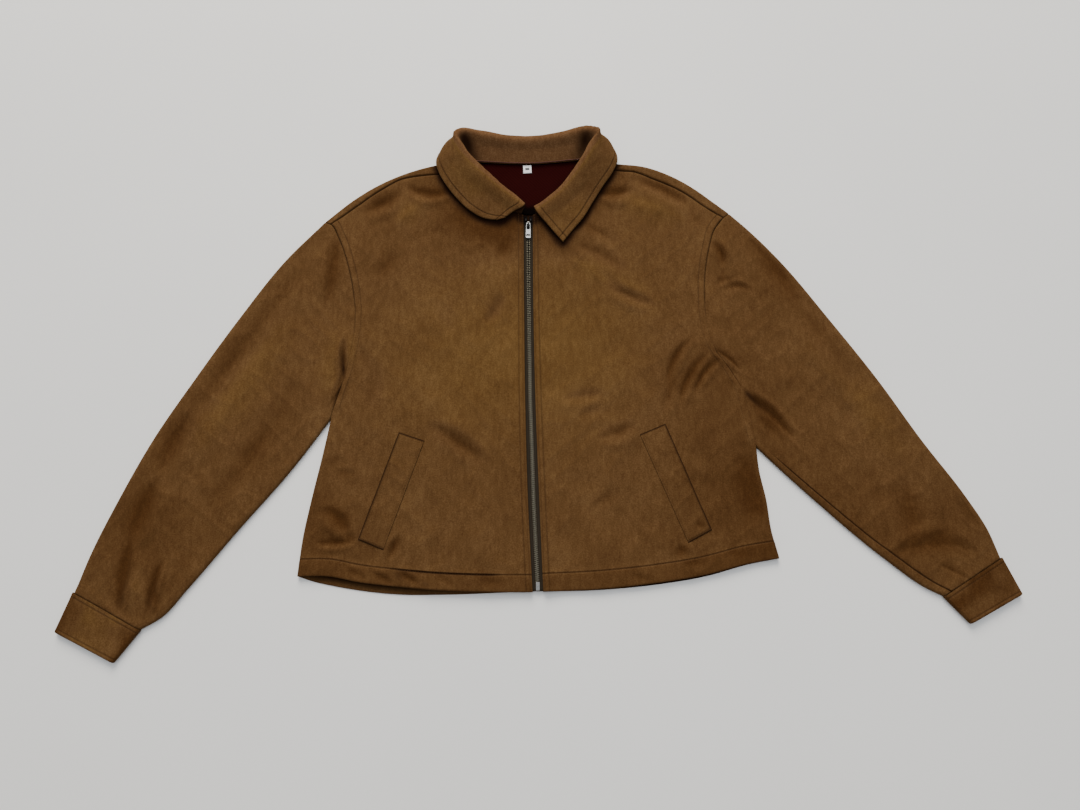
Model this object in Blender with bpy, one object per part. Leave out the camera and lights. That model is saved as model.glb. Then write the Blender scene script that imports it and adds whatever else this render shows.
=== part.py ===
"""A suede zip jacket, laid flat on its back with the zip closed.

Every cloth piece is a wall. Its outer face is worked out from the garment's outline, the radius of
the folded edges and a short table of folds, and its inner face lies one wall thickness inside.
Millimetres are used throughout and turned into metres when a mesh is made. X runs across the
jacket toward the wearer's left sleeve, Y toward the collar and Z up from the surface it lies on.
"""
import math
from collections import namedtuple

import bpy
import numpy as np

MM = 0.001
PLAN_CENTRE = np.array([1.0, -2.35, 0.0])   # the middle of the part's box on the ground: its origin

# Cloth, in millimetres
WALL = 1.6                # body and sleeve cloth
DOUBLE_WALL = 2.4         # two layers: cuffs and collar
EDGE_RADIUS = 3.2         # fold radius of the side, shoulder and sleeve edges
CUFF_RADIUS = 4.0
CUFF_STEP = 2.5           # the cuff is wider than the sleeve's end by this much
SEAM_GAP = 0.3
HEM_DEPTH = 25.0
HEM_EXTRA = 0.8           # the turned-up hem is thicker by this much
ZIP_RISE = 0.8            # the fronts stand higher over the zip
ZIP_RISE_FULL, ZIP_RISE_REACH = 10.0, 22.0   # distances from the zip where the rise starts to fade and ends
FOLD_FADE = 14.0          # folds die out within this distance of a folded edge
FOLD_FULL_SHARE = 0.35    # of a fold's length either side of its middle, where it keeps its height
FOLD_END_FADE = 1.2       # length of a fold's fading ends, as a share of its half width
LOWEST_TROUGH = -2.5
LINE_SPACING = 1.5        # between the dense points of every outline
POINTS_AT_ONCE = 4000
LEAST_SQUARE_SHARE = 0.3  # a rim direction that leans further than this is left as it is
SHARP_ANGLE = math.radians(40)
SHOULDER_RINGS = (0.0, 0.04, 0.15, 0.30)   # share of the shoulder wrap's width at each ring
EDGE_RINGS = (0.0, 0.43, 1.6, 3.2)         # distance from a folded edge at each ring

Side = namedtuple("Side", "name turn shoulder_fold shoulder_seam armhole sleeve_outer sleeve_inner "
                          "cuff_mouth body_side front_hem back_hem front_edge neckline")

# Outlines of one half each, as x, y corners of smooth curves. Each runs away from the neck.
RIGHT = Side(
    name="right", turn=1,
    shoulder_fold=((-102, 309), (-126, 306), (-168, 296), (-221, 273), (-254, 251), (-292, 218)),
    shoulder_seam=((-102, 293), (-140, 288), (-165, 286), (-189, 281), (-219, 263), (-250, 240), (-283, 214)),
    armhole=((-292, 218), (-283, 214), (-272, 195), (-257, 155), (-247, 110), (-244, 79), (-247, 40),
             (-254, 4), (-263, -27), (-270, -55)),
    sleeve_outer=((-292, 218), (-341, 164), (-399, 80), (-450, -2), (-496, -81), (-532, -158), (-562, -233),
                  (-574, -273)),
    sleeve_inner=((-270, -55), (-316, -120), (-378, -196), (-436, -269), (-464, -302), (-489, -317)),
    cuff_mouth=((-593, -319), (-517, -356)),
    body_side=((-270, -55), (-278, -101), (-289, -158), (-297, -206), (-301, -253)),
    front_hem=((-301, -253), (-262, -253), (-224, -260), (-181, -265), (-138, -269), (-53, -272), (-9, -272)),
    back_hem=((-301, -253), (-282, -259), (-254, -265), (-224, -270), (-171, -275), (-117, -275), (-3, -271)),
    front_edge=((-22, 228), (-21.5, 150), (-21, 106), (-19, -30), (-15, -159), (-9, -272)),
    neckline=((-102, 293), (-98, 278), (-80, 257), (-56, 243), (-34, 234), (-22, 228)),
)
LEFT = Side(
    name="left", turn=-1,
    shoulder_fold=((73, 310), (105, 305), (145, 300), (183, 285), (212, 267), (236, 248), (257, 231)),
    shoulder_seam=((73, 294), (110, 293), (133, 291), (155, 282), (187, 267), (204, 256), (226, 239),
                   (249, 224)),
    armhole=((257, 231), (249, 224), (236, 207), (228, 182), (222, 152), (219, 120), (219, 90), (222, 62),
             (231, 36), (249, 9), (262, -15), (270, -48), (277, -91)),
    sleeve_outer=((257, 231), (282, 207), (321, 164), (383, 80), (440, -2), (489, -81), (540, -157),
                  (561, -195), (573, -231)),
    sleeve_inner=((277, -91), (306, -120), (346, -158), (431, -233), (479, -268), (498, -277)),
    cuff_mouth=((595, -274), (527, -310)),
    body_side=((277, -91), (279, -120), (286, -158), (290, -196), (298, -231)),
    front_hem=((298, -231), (261, -237), (205, -251), (143, -261), (61, -269), (4, -271.5)),
    back_hem=((298, -231), (261, -238), (205, -253), (143, -263), (61, -270), (-3, -271)),
    front_edge=((-10, 228), (-9.5, 150), (-9, 106), (-6, -30), (-1, -159), (4, -271.5)),
    neckline=((73, 294), (69, 278), (50, 257), (26, 243), (4, 235), (-10, 228)),
)
BACK_NECK = ((-102, 309), (-82, 309), (-42, 307), (-8, 307), (28, 309), (53, 311), (73, 310))
ZIP_LINE = ((-16, 230), (-15.5, 150), (-15, 106), (-12.5, -30), (-8, -159), (-2.5, -274))

# Largest folds of the upper layer. bend moves the middle sideways; a trough has a negative height.
Fold = namedtuple("Fold", "start_x start_y end_x end_y bend half_width height")
FOLDS = tuple(Fold(*row) for row in (
    # right sleeve
    (-273, 196, -278, 102, 0, 10, -2.4),
    (-290, 186, -294, 108, 0, 12, 2.6),
    (-259, 46, -270, -43, -7, 9, -2.4),
    (-274, 40, -286, -18, 0, 12, 2.2),
    (-358, 91, -455, -57, 0, 17, -1.8),
    (-455, -57, -511, -201, -4, 15, -2.2),
    (-511, -201, -514, -299, -5, 11, -2.4),
    (-473, -224, -477, -291, 0, 9, -2.4),
    (-492, -206, -497, -292, 0, 10, 3.0),
    (-308, 1, -430, -187, 8, 17, -1.6),
    (-330, 84, -448, -120, 0, 22, 2.4),
    # right front
    (-119, 254, -182, 270, 5, 10, -2.2),
    (-182, 270, -247, 228, 5, 11, -2.2),
    (-128, 238, -236, 208, 10, 15, 2.8),
    (-186, 174, -219, 137, 0, 11, -1.6),
    (-47, 112, -71, 66, 0, 10, -1.6),
    (-218, 27, -215, -47, 0, 11, -1.7),
    (-144, -61, -69, -114, 6, 10, -1.8),
    (-261, -95, -236, -128, 0, 11, -2.2),
    (-275, -170, -238, -200, 5, 10, -2.3),
    (-290, -224, -238, -220, 0, 8, -2.0),
    (-284, -196, -246, -208, 0, 8, 2.0),
    # left front
    (81, 257, 123, 263, 0, 10, -2.2),
    (139, 277, 212, 232, 6, 10, -2.2),
    (96, 244, 200, 216, 8, 15, 2.6),
    (68, 238, 161, 200, 0, 10, -1.4),
    (38, 169, 151, 100, -8, 9, -1.6),
    (205, 51, 156, -37, -8, 9, -2.4),
    (222, 40, 178, -36, -8, 9, 2.2),
    (236, 22, 197, -18, -5, 9, -2.2),
    (26, -32, 88, -23, 3, 9, -1.6),
    (78, -81, 125, -61, 3, 9, -1.6),
    (250, -104, 261, -151, 0, 12, -2.2),
    # left sleeve
    (237, 184, 250, 143, 0, 9, -2.4),
    (252, 180, 266, 146, 0, 10, 2.2),
    (230, 115, 272, 128, 0, 8, -2.0),
    (293, 164, 415, -28, 8, 15, -1.9),
    (266, -21, 321, -81, 0, 10, -2.4),
    (284, -8, 338, -66, 0, 12, 2.6),
    (453, -142, 456, -201, 0, 14, -2.3),
    (467, -228, 528, -255, -4, 10, -2.3),
    (470, -208, 538, -236, -4, 10, 2.2),
    (335, 88, 470, -120, 0, 22, 2.0),
))

# The collar from its right front end round the back of the neck to its left front end. The visible
# face runs from the neck seam up the stand, over the roll line and down the leaf to its edge.
CollarStation = namedtuple("CollarStation", "seam_x seam_y seam_z roll_x roll_y roll_z "
                                            "leaf_x leaf_y leaf_z edge_x edge_y edge_z")
COLLAR = tuple(CollarStation(*row) for row in (
    (-25, 229, 7.6, -20, 241, 15, -36, 230, 13.0, -52, 218, 10.4),
    (-38, 233, 7.2, -33, 253, 16, -54, 238, 14.0, -77, 222, 10.2),
    (-59, 241, 7.0, -50, 266, 18, -73, 249, 15.0, -97, 234, 10.2),
    (-79, 255, 7.0, -66, 280, 21, -91, 263, 16.5, -114, 251, 10.4),
    (-94, 274, 7.0, -82, 295, 24, -106, 278, 18.5, -128, 269, 11.0),
    (-98, 289, 7.0, -95, 307, 27, -119, 295, 20.0, -138, 286, 11.5),
    (-98, 300, 7.4, -108, 322, 30, -130, 309, 19.0, -143, 300, 10.6),
    (-93, 306, 6.6, -118, 340, 29, -134, 325, 14.0, -142, 315, 4.0),
    (-82, 306, 6.0, -112, 347, 25, -118, 345, 4.5, -117, 320, 0.2),
    (-60, 305, 5.7, -79, 346, 20, -82, 344, 1.8, -82, 315, 0.2),
    (-34, 304, 5.7, -45, 341, 18, -46, 339, 1.5, -46, 313, 0.2),
    (-8, 304, 5.7, -8, 340, 18, -8, 338, 1.5, -8, 312, 0.2),
    (22, 306, 5.7, 30, 345, 20, 31, 343, 1.5, 32, 314, 0.2),
    (44, 308, 6.0, 68, 351, 25, 74, 350, 4.5, 73, 320, 0.2),
    (58, 308, 6.8, 82, 345, 29, 96, 334, 14.0, 104, 322, 4.0),
    (66, 302, 7.4, 69, 324, 29, 91, 313, 19.0, 107, 307, 10.6),
    (69, 290, 7.0, 56, 303, 26, 80, 295, 19.5, 100, 289, 11.5),
    (60, 272, 7.0, 42, 283, 22, 66, 273, 17.0, 86, 268, 10.6),
    (44, 254, 7.0, 27, 264, 19, 50, 251, 15.0, 71, 243, 10.2),
    (24, 239, 7.0, 11, 250, 17, 36, 233, 14.0, 58, 221, 10.2),
    (6, 233, 7.2, -1, 241, 15.5, 22, 224, 13.0, 44, 204, 10.2),
    (-5, 229, 7.6, -8.5, 237, 15, 10, 212, 12.0, 31, 187, 10.4),
))
COLLAR_ROLL_RADIUS = 3.6

# Zip, in millimetres
STRIP_LEVELS = 12
CHAIN_WIDTH = 5.5
CHAIN_THICKNESS = 2.2
CHAIN_MIDDLE_Z = 4.2
CHAIN_TOP_Y = 213.5
CHAIN_BOTTOM_Y = -259.0
TAPE_THICKNESS = 1.0
TAPE_REACH = 15.0          # from the zip's middle to the tape's hidden edge
TAPE_TOP_Y = 226.5
TAPE_BOTTOM_Y = -270.0
SLIDER_WIDTH = 8.4
POST_WIDTH = 5.0           # between the tapes
SLIDER_LOW_Y, SLIDER_HIGH_Y = 207.0, 218.4
SLIDER_PLATE = 0.8
BAIL_WIDTH = 1.6
BAIL_LOW_Y, BAIL_HIGH_Y, BAIL_BAR, BAIL_TOP_Z = 208.4, 217.6, 1.1, 10.2
PULL_AXIS_Y, PULL_AXIS_Z = 214.6, 8.0
PULL_WIDTH, PULL_LENGTH, PULL_THICKNESS = 6.8, 21.0, 1.2
PULL_TOP_REACH, PULL_WAIST, PULL_CORNER = 0.9, 5.8, 1.0   # above the axis, width beside the hole, corner cut
PULL_WIDENING = 1.5                                       # full width starts this far below the hole
PULL_HOLE_WIDTH, PULL_HOLE_NEAR, PULL_HOLE_FAR = 3.4, 0.9, 8.6
PULL_HOLE_CORNER, PULL_HOLE_MIDDLE = (0.5, 0.8), 0.4
BOX_WIDTH, BOX_HIGH_Y, BOX_LOW_Y, BOX_THICKNESS = 5.0, -259.6, -270.2, 3.4
STOP_SIZE = (2.0, 3.0, 1.2)
STOP_OFFSET_X, STOP_Y = 3.2, 221.2

# Pocket welts: corners upper outer, upper inner, lower inner, lower outer
Welt = namedtuple("Welt", "name corners")
WELTS = (
    Welt("welt_right", ((-181, -72), (-148, -83), (-195, -221), (-227, -208))),
    Welt("welt_left", ((161, -61), (128, -75), (185, -212), (215, -196))),
)
WELT_GAP = 0.7
WELT_WALL = 1.4
WELT_COLUMNS, WELT_ROWS = 4, 10

LINING_WALL = 1.0
LINING_COLUMNS, LINING_ROWS = 11, 5
LINING_BORDER = ((-92, 305.5), (-60, 305.2), (-8, 304.6), (24, 306.4), (62, 308))
LINING_LOW_EDGE = ((-92, 284), (-68, 253), (-38, 234), (-15, 230), (10, 234), (42, 254), (62, 282))
LABEL_CENTRE, LABEL_SIZE, LABEL_TURN = (-17.5, 297.0), (11.5, 12.0), math.radians(-4)
LABEL_WALL = 0.6

COLOURS = {                # linear red, green, blue, then roughness and metallic
    "suede": (0.13, 0.055, 0.018, 0.95, 0.0),
    "lining": (0.02, 0.002, 0.003, 0.8, 0.0),
    "label": (0.8, 0.8, 0.78, 0.7, 0.0),
    "tape": (0.035, 0.02, 0.012, 0.9, 0.0),
    "old_brass": (0.16, 0.12, 0.08, 0.4, 1.0),
    "nickel": (0.6, 0.6, 0.6, 0.25, 1.0),
}


# Curves ------------------------------------------------------------------------------------------
def smooth(points, spacing=LINE_SPACING):
    """Dense points along a smooth curve through the given ones."""
    points = np.asarray(points, float)
    if len(points) == 2:
        count = max(2, int(np.linalg.norm(points[1] - points[0]) / spacing))
        return points[0] + (points[1] - points[0]) * np.linspace(0, 1, count)[:, None]
    knots = np.concatenate(([0], np.cumsum(np.linalg.norm(np.diff(points, axis=0), axis=1))))
    slopes = np.gradient(points, knots, axis=0)
    at = np.linspace(0, knots[-1], max(2, int(knots[-1] / spacing)))
    span = np.clip(np.searchsorted(knots, at, side="right") - 1, 0, len(knots) - 2)
    width = (knots[span + 1] - knots[span])[:, None]
    t = ((at - knots[span]) / width[:, 0])[:, None]
    return ((2 * t ** 3 - 3 * t ** 2 + 1) * points[span] + (t ** 3 - 2 * t ** 2 + t) * width * slopes[span]
            + (3 * t ** 2 - 2 * t ** 3) * points[span + 1] + (t ** 3 - t ** 2) * width * slopes[span + 1])


def along(curve, shares):
    """Points at the given shares of a dense curve's length."""
    length = np.concatenate(([0], np.cumsum(np.linalg.norm(np.diff(curve, axis=0), axis=1))))
    at = np.asarray(shares) * length[-1]
    return np.stack([np.interp(at, length, curve[:, axis]) for axis in range(curve.shape[1])], axis=1)


def length_of(curve):
    return float(np.linalg.norm(np.diff(curve, axis=0), axis=1).sum())


def left_normals(curve):
    """Unit vectors in the XY plane, to the left of the direction of travel."""
    tangent = np.gradient(curve[:, :2], axis=0)
    tangent /= np.linalg.norm(tangent, axis=1)[:, None]
    return np.stack([-tangent[:, 1], tangent[:, 0]], axis=1)


def rings_then_even(length, count):
    """Shares of a line: close rings at a folded edge, then even steps."""
    rings = np.array(EDGE_RINGS) / length
    return np.concatenate((rings, np.linspace(rings[-1], 1, count + 1)[1:]))


# The garment's skin ------------------------------------------------------------------------------
class Skin:
    """Height and direction of the outer cloth face over any point inside folded edges."""

    def __init__(self, edges, radius, folds=()):
        self.radius = radius
        self.edge_points = np.concatenate([curve for curve, _ in edges])
        self.edge_inward = np.concatenate([left_normals(curve) * turn for curve, turn in edges])
        self.folds = folds

    def edge(self, xy):
        """Distance to the nearest folded edge, and the way in from it."""
        nearest = np.concatenate([
            ((part[:, None] - self.edge_points[None]) ** 2).sum(axis=2).argmin(axis=1)
            for part in np.array_split(xy, len(xy) // POINTS_AT_ONCE + 1)])
        inward = self.edge_inward[nearest]
        offset = xy - self.edge_points[nearest]
        square_on = np.abs((offset * inward).sum(axis=1))
        direct = np.linalg.norm(offset, axis=1)
        beside_edge = direct ** 2 - square_on ** 2 < LINE_SPACING ** 2
        return np.where(beside_edge, square_on, direct), inward

    def relief(self, xy, distance):
        """Folds, and the rise over the zip, above the plain upper layer."""
        if not self.folds:
            return np.zeros(len(xy))
        zip_x = np.interp(xy[:, 1], [p[1] for p in ZIP_LINE[::-1]], [p[0] for p in ZIP_LINE[::-1]])
        over_zip = 1 - smooth_step(np.abs(xy[:, 0] - zip_x), ZIP_RISE_FULL, ZIP_RISE_REACH)
        height = np.zeros(len(xy))
        for fold in self.folds:
            height += fold.height * fold_weight(xy, fold)
        height = np.maximum(height, LOWEST_TROUGH) * smooth_step(distance, 1, FOLD_FADE) * (1 - over_zip)
        return height + ZIP_RISE * over_zip

    def __call__(self, xy, layer, on_edge=None):
        """Points and unit outward directions. layer is 1 for the upper layer and -1 for the lower."""
        xy = np.asarray(xy, float)
        shape = xy.shape[:-1]
        flat = xy.reshape(-1, 2)
        distance, inward = self.edge(flat)
        turned = np.clip(1 - distance / self.radius, 0, 1)
        if on_edge is not None:
            turned = np.where(on_edge.reshape(-1), 1.0, turned)
        level = np.sqrt(1 - turned ** 2)
        relief, slope = np.zeros(len(flat)), np.zeros((len(flat), 2))
        if layer > 0:
            relief = self.relief(flat, distance)
            for axis in range(2):
                step = np.zeros(2)
                step[axis] = 0.5
                ahead = self.relief(flat + step, self.edge(flat + step)[0])
                behind = self.relief(flat - step, self.edge(flat - step)[0])
                slope[:, axis] = (ahead - behind)
        z = self.radius * (1 + layer * level) + relief
        out = np.column_stack((-inward * turned[:, None] - slope * level[:, None], layer * level))
        out /= np.linalg.norm(out, axis=1)[:, None]
        return np.column_stack((flat, z)).reshape(*shape, 3), out.reshape(*shape, 3)


def smooth_step(value, low, high):
    t = np.clip((value - low) / (high - low), 0, 1)
    return t * t * (3 - 2 * t)


def fold_weight(xy, fold):
    """One along the middle of a fold's line, fading sideways and toward both ends."""
    start, end = np.array([fold.start_x, fold.start_y]), np.array([fold.end_x, fold.end_y])
    length = np.linalg.norm(end - start)
    along_line = (end - start) / length
    offset = xy - start
    share = offset @ along_line / length
    across = offset @ np.array([-along_line[1], along_line[0]])
    inside = np.clip(share, 0, 1)
    across = across - fold.bend * 4 * inside * (1 - inside)
    beyond = np.maximum(np.abs(share - 0.5) - FOLD_FULL_SHARE, 0) * length
    return np.exp(-(across / fold.half_width) ** 2 - (beyond / (FOLD_END_FADE * fold.half_width)) ** 2)


# Walls -------------------------------------------------------------------------------------------
def patch(bottom, top, left, right, u, v):
    """A grid between four boundary lines: columns follow u, rows follow v."""
    u, v = np.asarray(u)[None, :, None], np.asarray(v)[:, None, None]
    ruled = (1 - v) * bottom[None] + v * top[None] + (1 - u) * left[:, None] + u * right[:, None]
    corners = ((1 - v) * (1 - u) * bottom[0] + (1 - v) * u * bottom[-1]
               + v * (1 - u) * top[0] + v * u * top[-1])
    return ruled - corners


def square_rim(out, line, keep=None):
    """Turns the directions along a cut edge so that its rim stands square to the seam line."""
    tangent = np.gradient(line[:, :2], axis=0)
    across = np.column_stack((-tangent[:, 1], tangent[:, 0], np.zeros(len(line))))
    across /= np.linalg.norm(across, axis=1)[:, None]
    squared = out - (out * across).sum(axis=1)[:, None] * across
    size = np.linalg.norm(squared, axis=1)
    good = size > LEAST_SQUARE_SHARE
    if keep is not None:
        good &= ~keep
    out[good] = squared[good] / size[good][:, None]


def grid_faces(rows, columns, start=0, closed=False):
    faces = []
    for row in range(rows - 1):
        for column in range(columns if closed else columns - 1):
            after = (column + 1) % columns
            low, high = start + row * columns, start + (row + 1) * columns
            faces.append((low + column, low + after, high + after, high + column))
    return faces


def wall_mesh(outer, inner, faces):
    """Closes the space between two faces with the same layout."""
    count = len(outer)
    used = {}
    for face in faces:
        for a, b in zip(face, face[1:] + face[:1]):
            used[(a, b)] = used.get((a, b), 0) + 1
    rim = [(b, a, a + count, b + count) for a, b in used if (b, a) not in used]
    back = [tuple(i + count for i in reversed(face)) for face in faces]
    return np.concatenate((outer, inner)), list(faces) + back + rim


def signed_volume(points, faces):
    total = 0.0
    for face in faces:
        for a, b in zip(face[1:-1], face[2:]):
            total += np.dot(points[face[0]], np.cross(points[a], points[b]))
    return total / 6


def material(name):
    made = bpy.data.materials.get(name)
    if made is None:
        red, green, blue, roughness, metallic = COLOURS[name]
        made = bpy.data.materials.new(name)
        made.use_nodes = True
        shader = made.node_tree.nodes["Principled BSDF"]
        shader.inputs["Base Color"].default_value = (red, green, blue, 1)
        shader.inputs["Roughness"].default_value = roughness
        shader.inputs["Metallic"].default_value = metallic
    return made


def add_object(name, points, faces, material_name, pivot=None, smooth_shading=True):
    """One object from points in millimetres, its faces turned to point out. Its origin is at its pivot."""
    if signed_volume(points, faces) < 0:
        faces = [tuple(reversed(face)) for face in faces]
    place = np.zeros(3) if pivot is None else np.array(pivot) - PLAN_CENTRE
    mesh = bpy.data.meshes.new(name)
    mesh.from_pydata([tuple((p - PLAN_CENTRE - place) * MM) for p in points], [], faces)
    mesh.validate()
    mesh.materials.append(material(material_name))
    if smooth_shading:
        mesh.shade_smooth()
        mesh.set_sharp_from_angle(angle=SHARP_ANGLE)
    made = bpy.data.objects.new(name, mesh)
    made.location = tuple(place * MM)
    bpy.context.scene.collection.objects.link(made)
    return made


# Body and sleeves --------------------------------------------------------------------------------
HEM_SHARES = np.array([0.0, 0.96, 1.06])   # of the hem's depth: its edge, and either side of its top
SIDE_SHARES = np.array([0.34, 0.45, 0.56, 0.67, 0.78, 0.89, 1.0])   # of the side seam, above the hem
ARMHOLE_UPPER = np.array([1, 0.997, 0.99, 0.975, 0.93, 0.87, 0.8, 0.73, 0.66, 0.59, 0.52, 0.45, 0.38,
                          0.31, 0.24, 0.17, 0.1])
ARMHOLE_LOWER = np.array([1, 0.997, 0.99, 0.975, 0.87, 0.73, 0.59, 0.45, 0.31, 0.17, 0.08])
SHOULDER_STEPS = 9
NECK_STEPS = 6


def lines_of(side):
    """Dense curves of one half, by name."""
    return {name: smooth(points) for name, points in side._asdict().items() if name not in ("name", "turn")}


def seam_line(lines, name, side, toward, reverse=False):
    """A seam's dense curve moved half a seam gap to one side. toward is 1 for the body and the front."""
    curve = lines[name]
    shifted = curve + left_normals(curve) * side.turn * toward * SEAM_GAP / 2
    return shifted[::-1] if reverse else shifted


def wrap_shares(lines):
    """Shares of the armhole, from its top, at the rings of the shoulder wrap and at its seam."""
    wrap_width = np.linalg.norm(lines["shoulder_seam"][-1] - lines["armhole"][0])
    return np.array([*SHOULDER_RINGS, 1.0]) * wrap_width / length_of(lines["armhole"])


def upper_armhole_shares(lines):
    return np.concatenate((ARMHOLE_UPPER, wrap_shares(lines)[::-1]))


def lower_armhole_shares(lines):
    return np.concatenate((ARMHOLE_LOWER, wrap_shares(lines)[-2::-1]))


def shoulder_shares(lines):
    """Shares of the shoulder seam, from the armhole to the neck."""
    return rings_then_even(length_of(lines["shoulder_fold"]), SHOULDER_STEPS)


def side_and_armhole(side, lines, armhole_shares):
    """One panel's edge from the hem to the top of its armhole, and which of its points are folded."""
    hem_rows = HEM_DEPTH / length_of(lines["body_side"]) * HEM_SHARES
    side_points = along(lines["body_side"][::-1], np.concatenate((hem_rows, SIDE_SHARES)))
    armhole_points = along(seam_line(lines, "armhole", side, toward=1), armhole_shares)
    line = np.concatenate((side_points[:-1], armhole_points))
    return line, np.arange(len(line)) < len(side_points)


def shares_of(points):
    """Each point's share of the length of the line that they make."""
    steps = np.concatenate(([0], np.cumsum(np.linalg.norm(np.diff(points, axis=0), axis=1))))
    return steps / steps[-1]


def front(side, lines, skin):
    """One front: hem, zip edge, neckline, shoulder seam, armhole and side seam."""
    left, folded = side_and_armhole(side, lines, upper_armhole_shares(lines)[:-len(SHOULDER_RINGS)])
    v = shares_of(left)
    shoulder = shoulder_shares(lines)
    neck = np.linspace(0, 1, NECK_STEPS + 1)[1:]
    top = np.concatenate((along(seam_line(lines, "shoulder_seam", side, 1, reverse=True), shoulder),
                          along(lines["neckline"], neck)))
    top[0] = left[-1]
    u = shares_of(top)
    bottom = along(lines["front_hem"], u)
    right = along(lines["front_edge"][::-1], v)
    layout = patch(bottom, top, left, right, u, v)
    on_edge = np.zeros(layout.shape[:2], bool)
    on_edge[:, 0] = folded
    points, out = skin(layout, 1, on_edge)
    points[on_edge, 2] += SEAM_GAP / 2
    square_rim(out[:, 0], left, keep=folded)
    square_rim(out[:, -1], right)
    square_rim(out[0], bottom, keep=on_edge[0])
    square_rim(out[-1], top)
    in_hem = (np.arange(len(v)) < 2)[:, None] & ~on_edge
    outer = points + out * HEM_EXTRA * in_hem[..., None]
    inner = points - out * WALL
    mesh = wall_mesh(outer.reshape(-1, 3), inner.reshape(-1, 3), grid_faces(*layout.shape[:2]))
    return add_object(f"front_{side.name}", *mesh, "suede")


def shoulder_wrap(side, lines, skin, fold):
    """The back's strip over one shoulder, from next to the fold to the forward seam."""
    seam = along(seam_line(lines, "shoulder_seam", side, -1, reverse=True), shoulder_shares(lines))
    layout = np.array([fold + (seam - fold) * share for share in (*SHOULDER_RINGS[1:], 1.0)])
    layout[:, 0] = along(seam_line(lines, "armhole", side, toward=1), wrap_shares(lines)[1:])
    points, out = skin(layout, 1)
    square_rim(out[-1], layout[-1])
    square_rim(out[:, 0], layout[:, 0])
    return points, points - out * WALL


def back(sides, lines_by_side, skin):
    """The back lies on the ground and folds over both shoulders to the forward shoulder seams."""
    edges, folded, shoulders = [], [], []
    for side in sides:
        lines = lines_by_side[side.name]
        edge, folded_here = side_and_armhole(side, lines, lower_armhole_shares(lines))
        shoulder = along(lines["shoulder_fold"][::-1], shoulder_shares(lines))
        shoulder[0] = edge[-1]
        edges.append(edge)
        folded.append(folded_here)
        shoulders.append(shoulder)
    neck = along(smooth(BACK_NECK), np.linspace(0, 1, NECK_STEPS + 3))[1:-1]
    top = np.concatenate((shoulders[0], neck, shoulders[1][::-1]))
    u, v = shares_of(top), shares_of(edges[0])
    hem = smooth(RIGHT.back_hem + LEFT.back_hem[-2::-1])
    bottom = along(hem, u)
    layout = patch(bottom, top, edges[0], edges[1], u, v)
    on_edge = np.zeros(layout.shape[:2], bool)
    on_edge[:, 0], on_edge[:, -1] = folded
    on_edge[-1, :len(shoulders[0])] = on_edge[-1, -len(shoulders[1]):] = True
    points, out = skin(layout, -1, on_edge)
    for column in (0, -1):
        points[folded[column], column, 2] -= SEAM_GAP / 2
        square_rim(out[:, column], layout[:, column], keep=on_edge[:, column])
    square_rim(out[0], bottom, keep=on_edge[0])
    in_hem = (np.arange(len(v)) < 2)[:, None] & ~on_edge
    outer = [points.reshape(-1, 3)]
    inner = [(points - out * (WALL + HEM_EXTRA * in_hem)[..., None]).reshape(-1, 3)]
    rows, columns = layout.shape[:2]
    faces = grid_faces(rows, columns)
    start = rows * columns
    last_row = np.arange(start - columns, start)
    for side, fold, base_row in zip(sides, shoulders, (last_row, last_row[::-1])):
        wrap_outer, wrap_inner = shoulder_wrap(side, lines_by_side[side.name], skin, fold)
        outer.append(wrap_outer.reshape(-1, 3))
        inner.append(wrap_inner.reshape(-1, 3))
        count = len(fold)
        wrap_rows = [base_row[:count]]
        wrap_rows += [np.arange(count) + start + row * count for row in range(len(wrap_outer))]
        for low, high in zip(wrap_rows, wrap_rows[1:]):
            for i in range(count - 1):
                face = (int(low[i]), int(low[i + 1]), int(high[i + 1]), int(high[i]))
                faces.append(face if side is sides[0] else face[::-1])
        start += count * len(wrap_outer)
    mesh = wall_mesh(np.concatenate(outer), np.concatenate(inner), faces)
    return add_object("back", *mesh, "suede")


SLEEVE_ROWS = 22
SLEEVE_INSIDE = 5         # the column that the rings of a folded edge head for
CUFF_ROWS, CUFF_COLUMNS = 4, 7


def tube(name, upper, lower, skin, wall):
    """A flattened tube from its upper and lower layouts, which share their first and last columns."""
    edge_columns = np.zeros(upper.shape[:2], bool)
    edge_columns[:, [0, -1]] = True
    upper_points, upper_out = skin(upper, 1, edge_columns)
    edge_columns = np.zeros(lower.shape[:2], bool)
    edge_columns[:, [0, -1]] = True
    lower_points, lower_out = skin(lower, -1, edge_columns)
    for row in (0, -1):
        square_rim(upper_out[row], upper[row])
        square_rim(lower_out[row], lower[row])
    points = np.concatenate((upper_points, lower_points[:, -2:0:-1]), axis=1)
    out = np.concatenate((upper_out, lower_out[:, -2:0:-1]), axis=1)
    rows, columns = points.shape[:2]
    mesh = wall_mesh(points.reshape(-1, 3), (points - out * wall).reshape(-1, 3),
                     grid_faces(rows, columns, closed=True))
    return add_object(name, *mesh, "suede")


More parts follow.
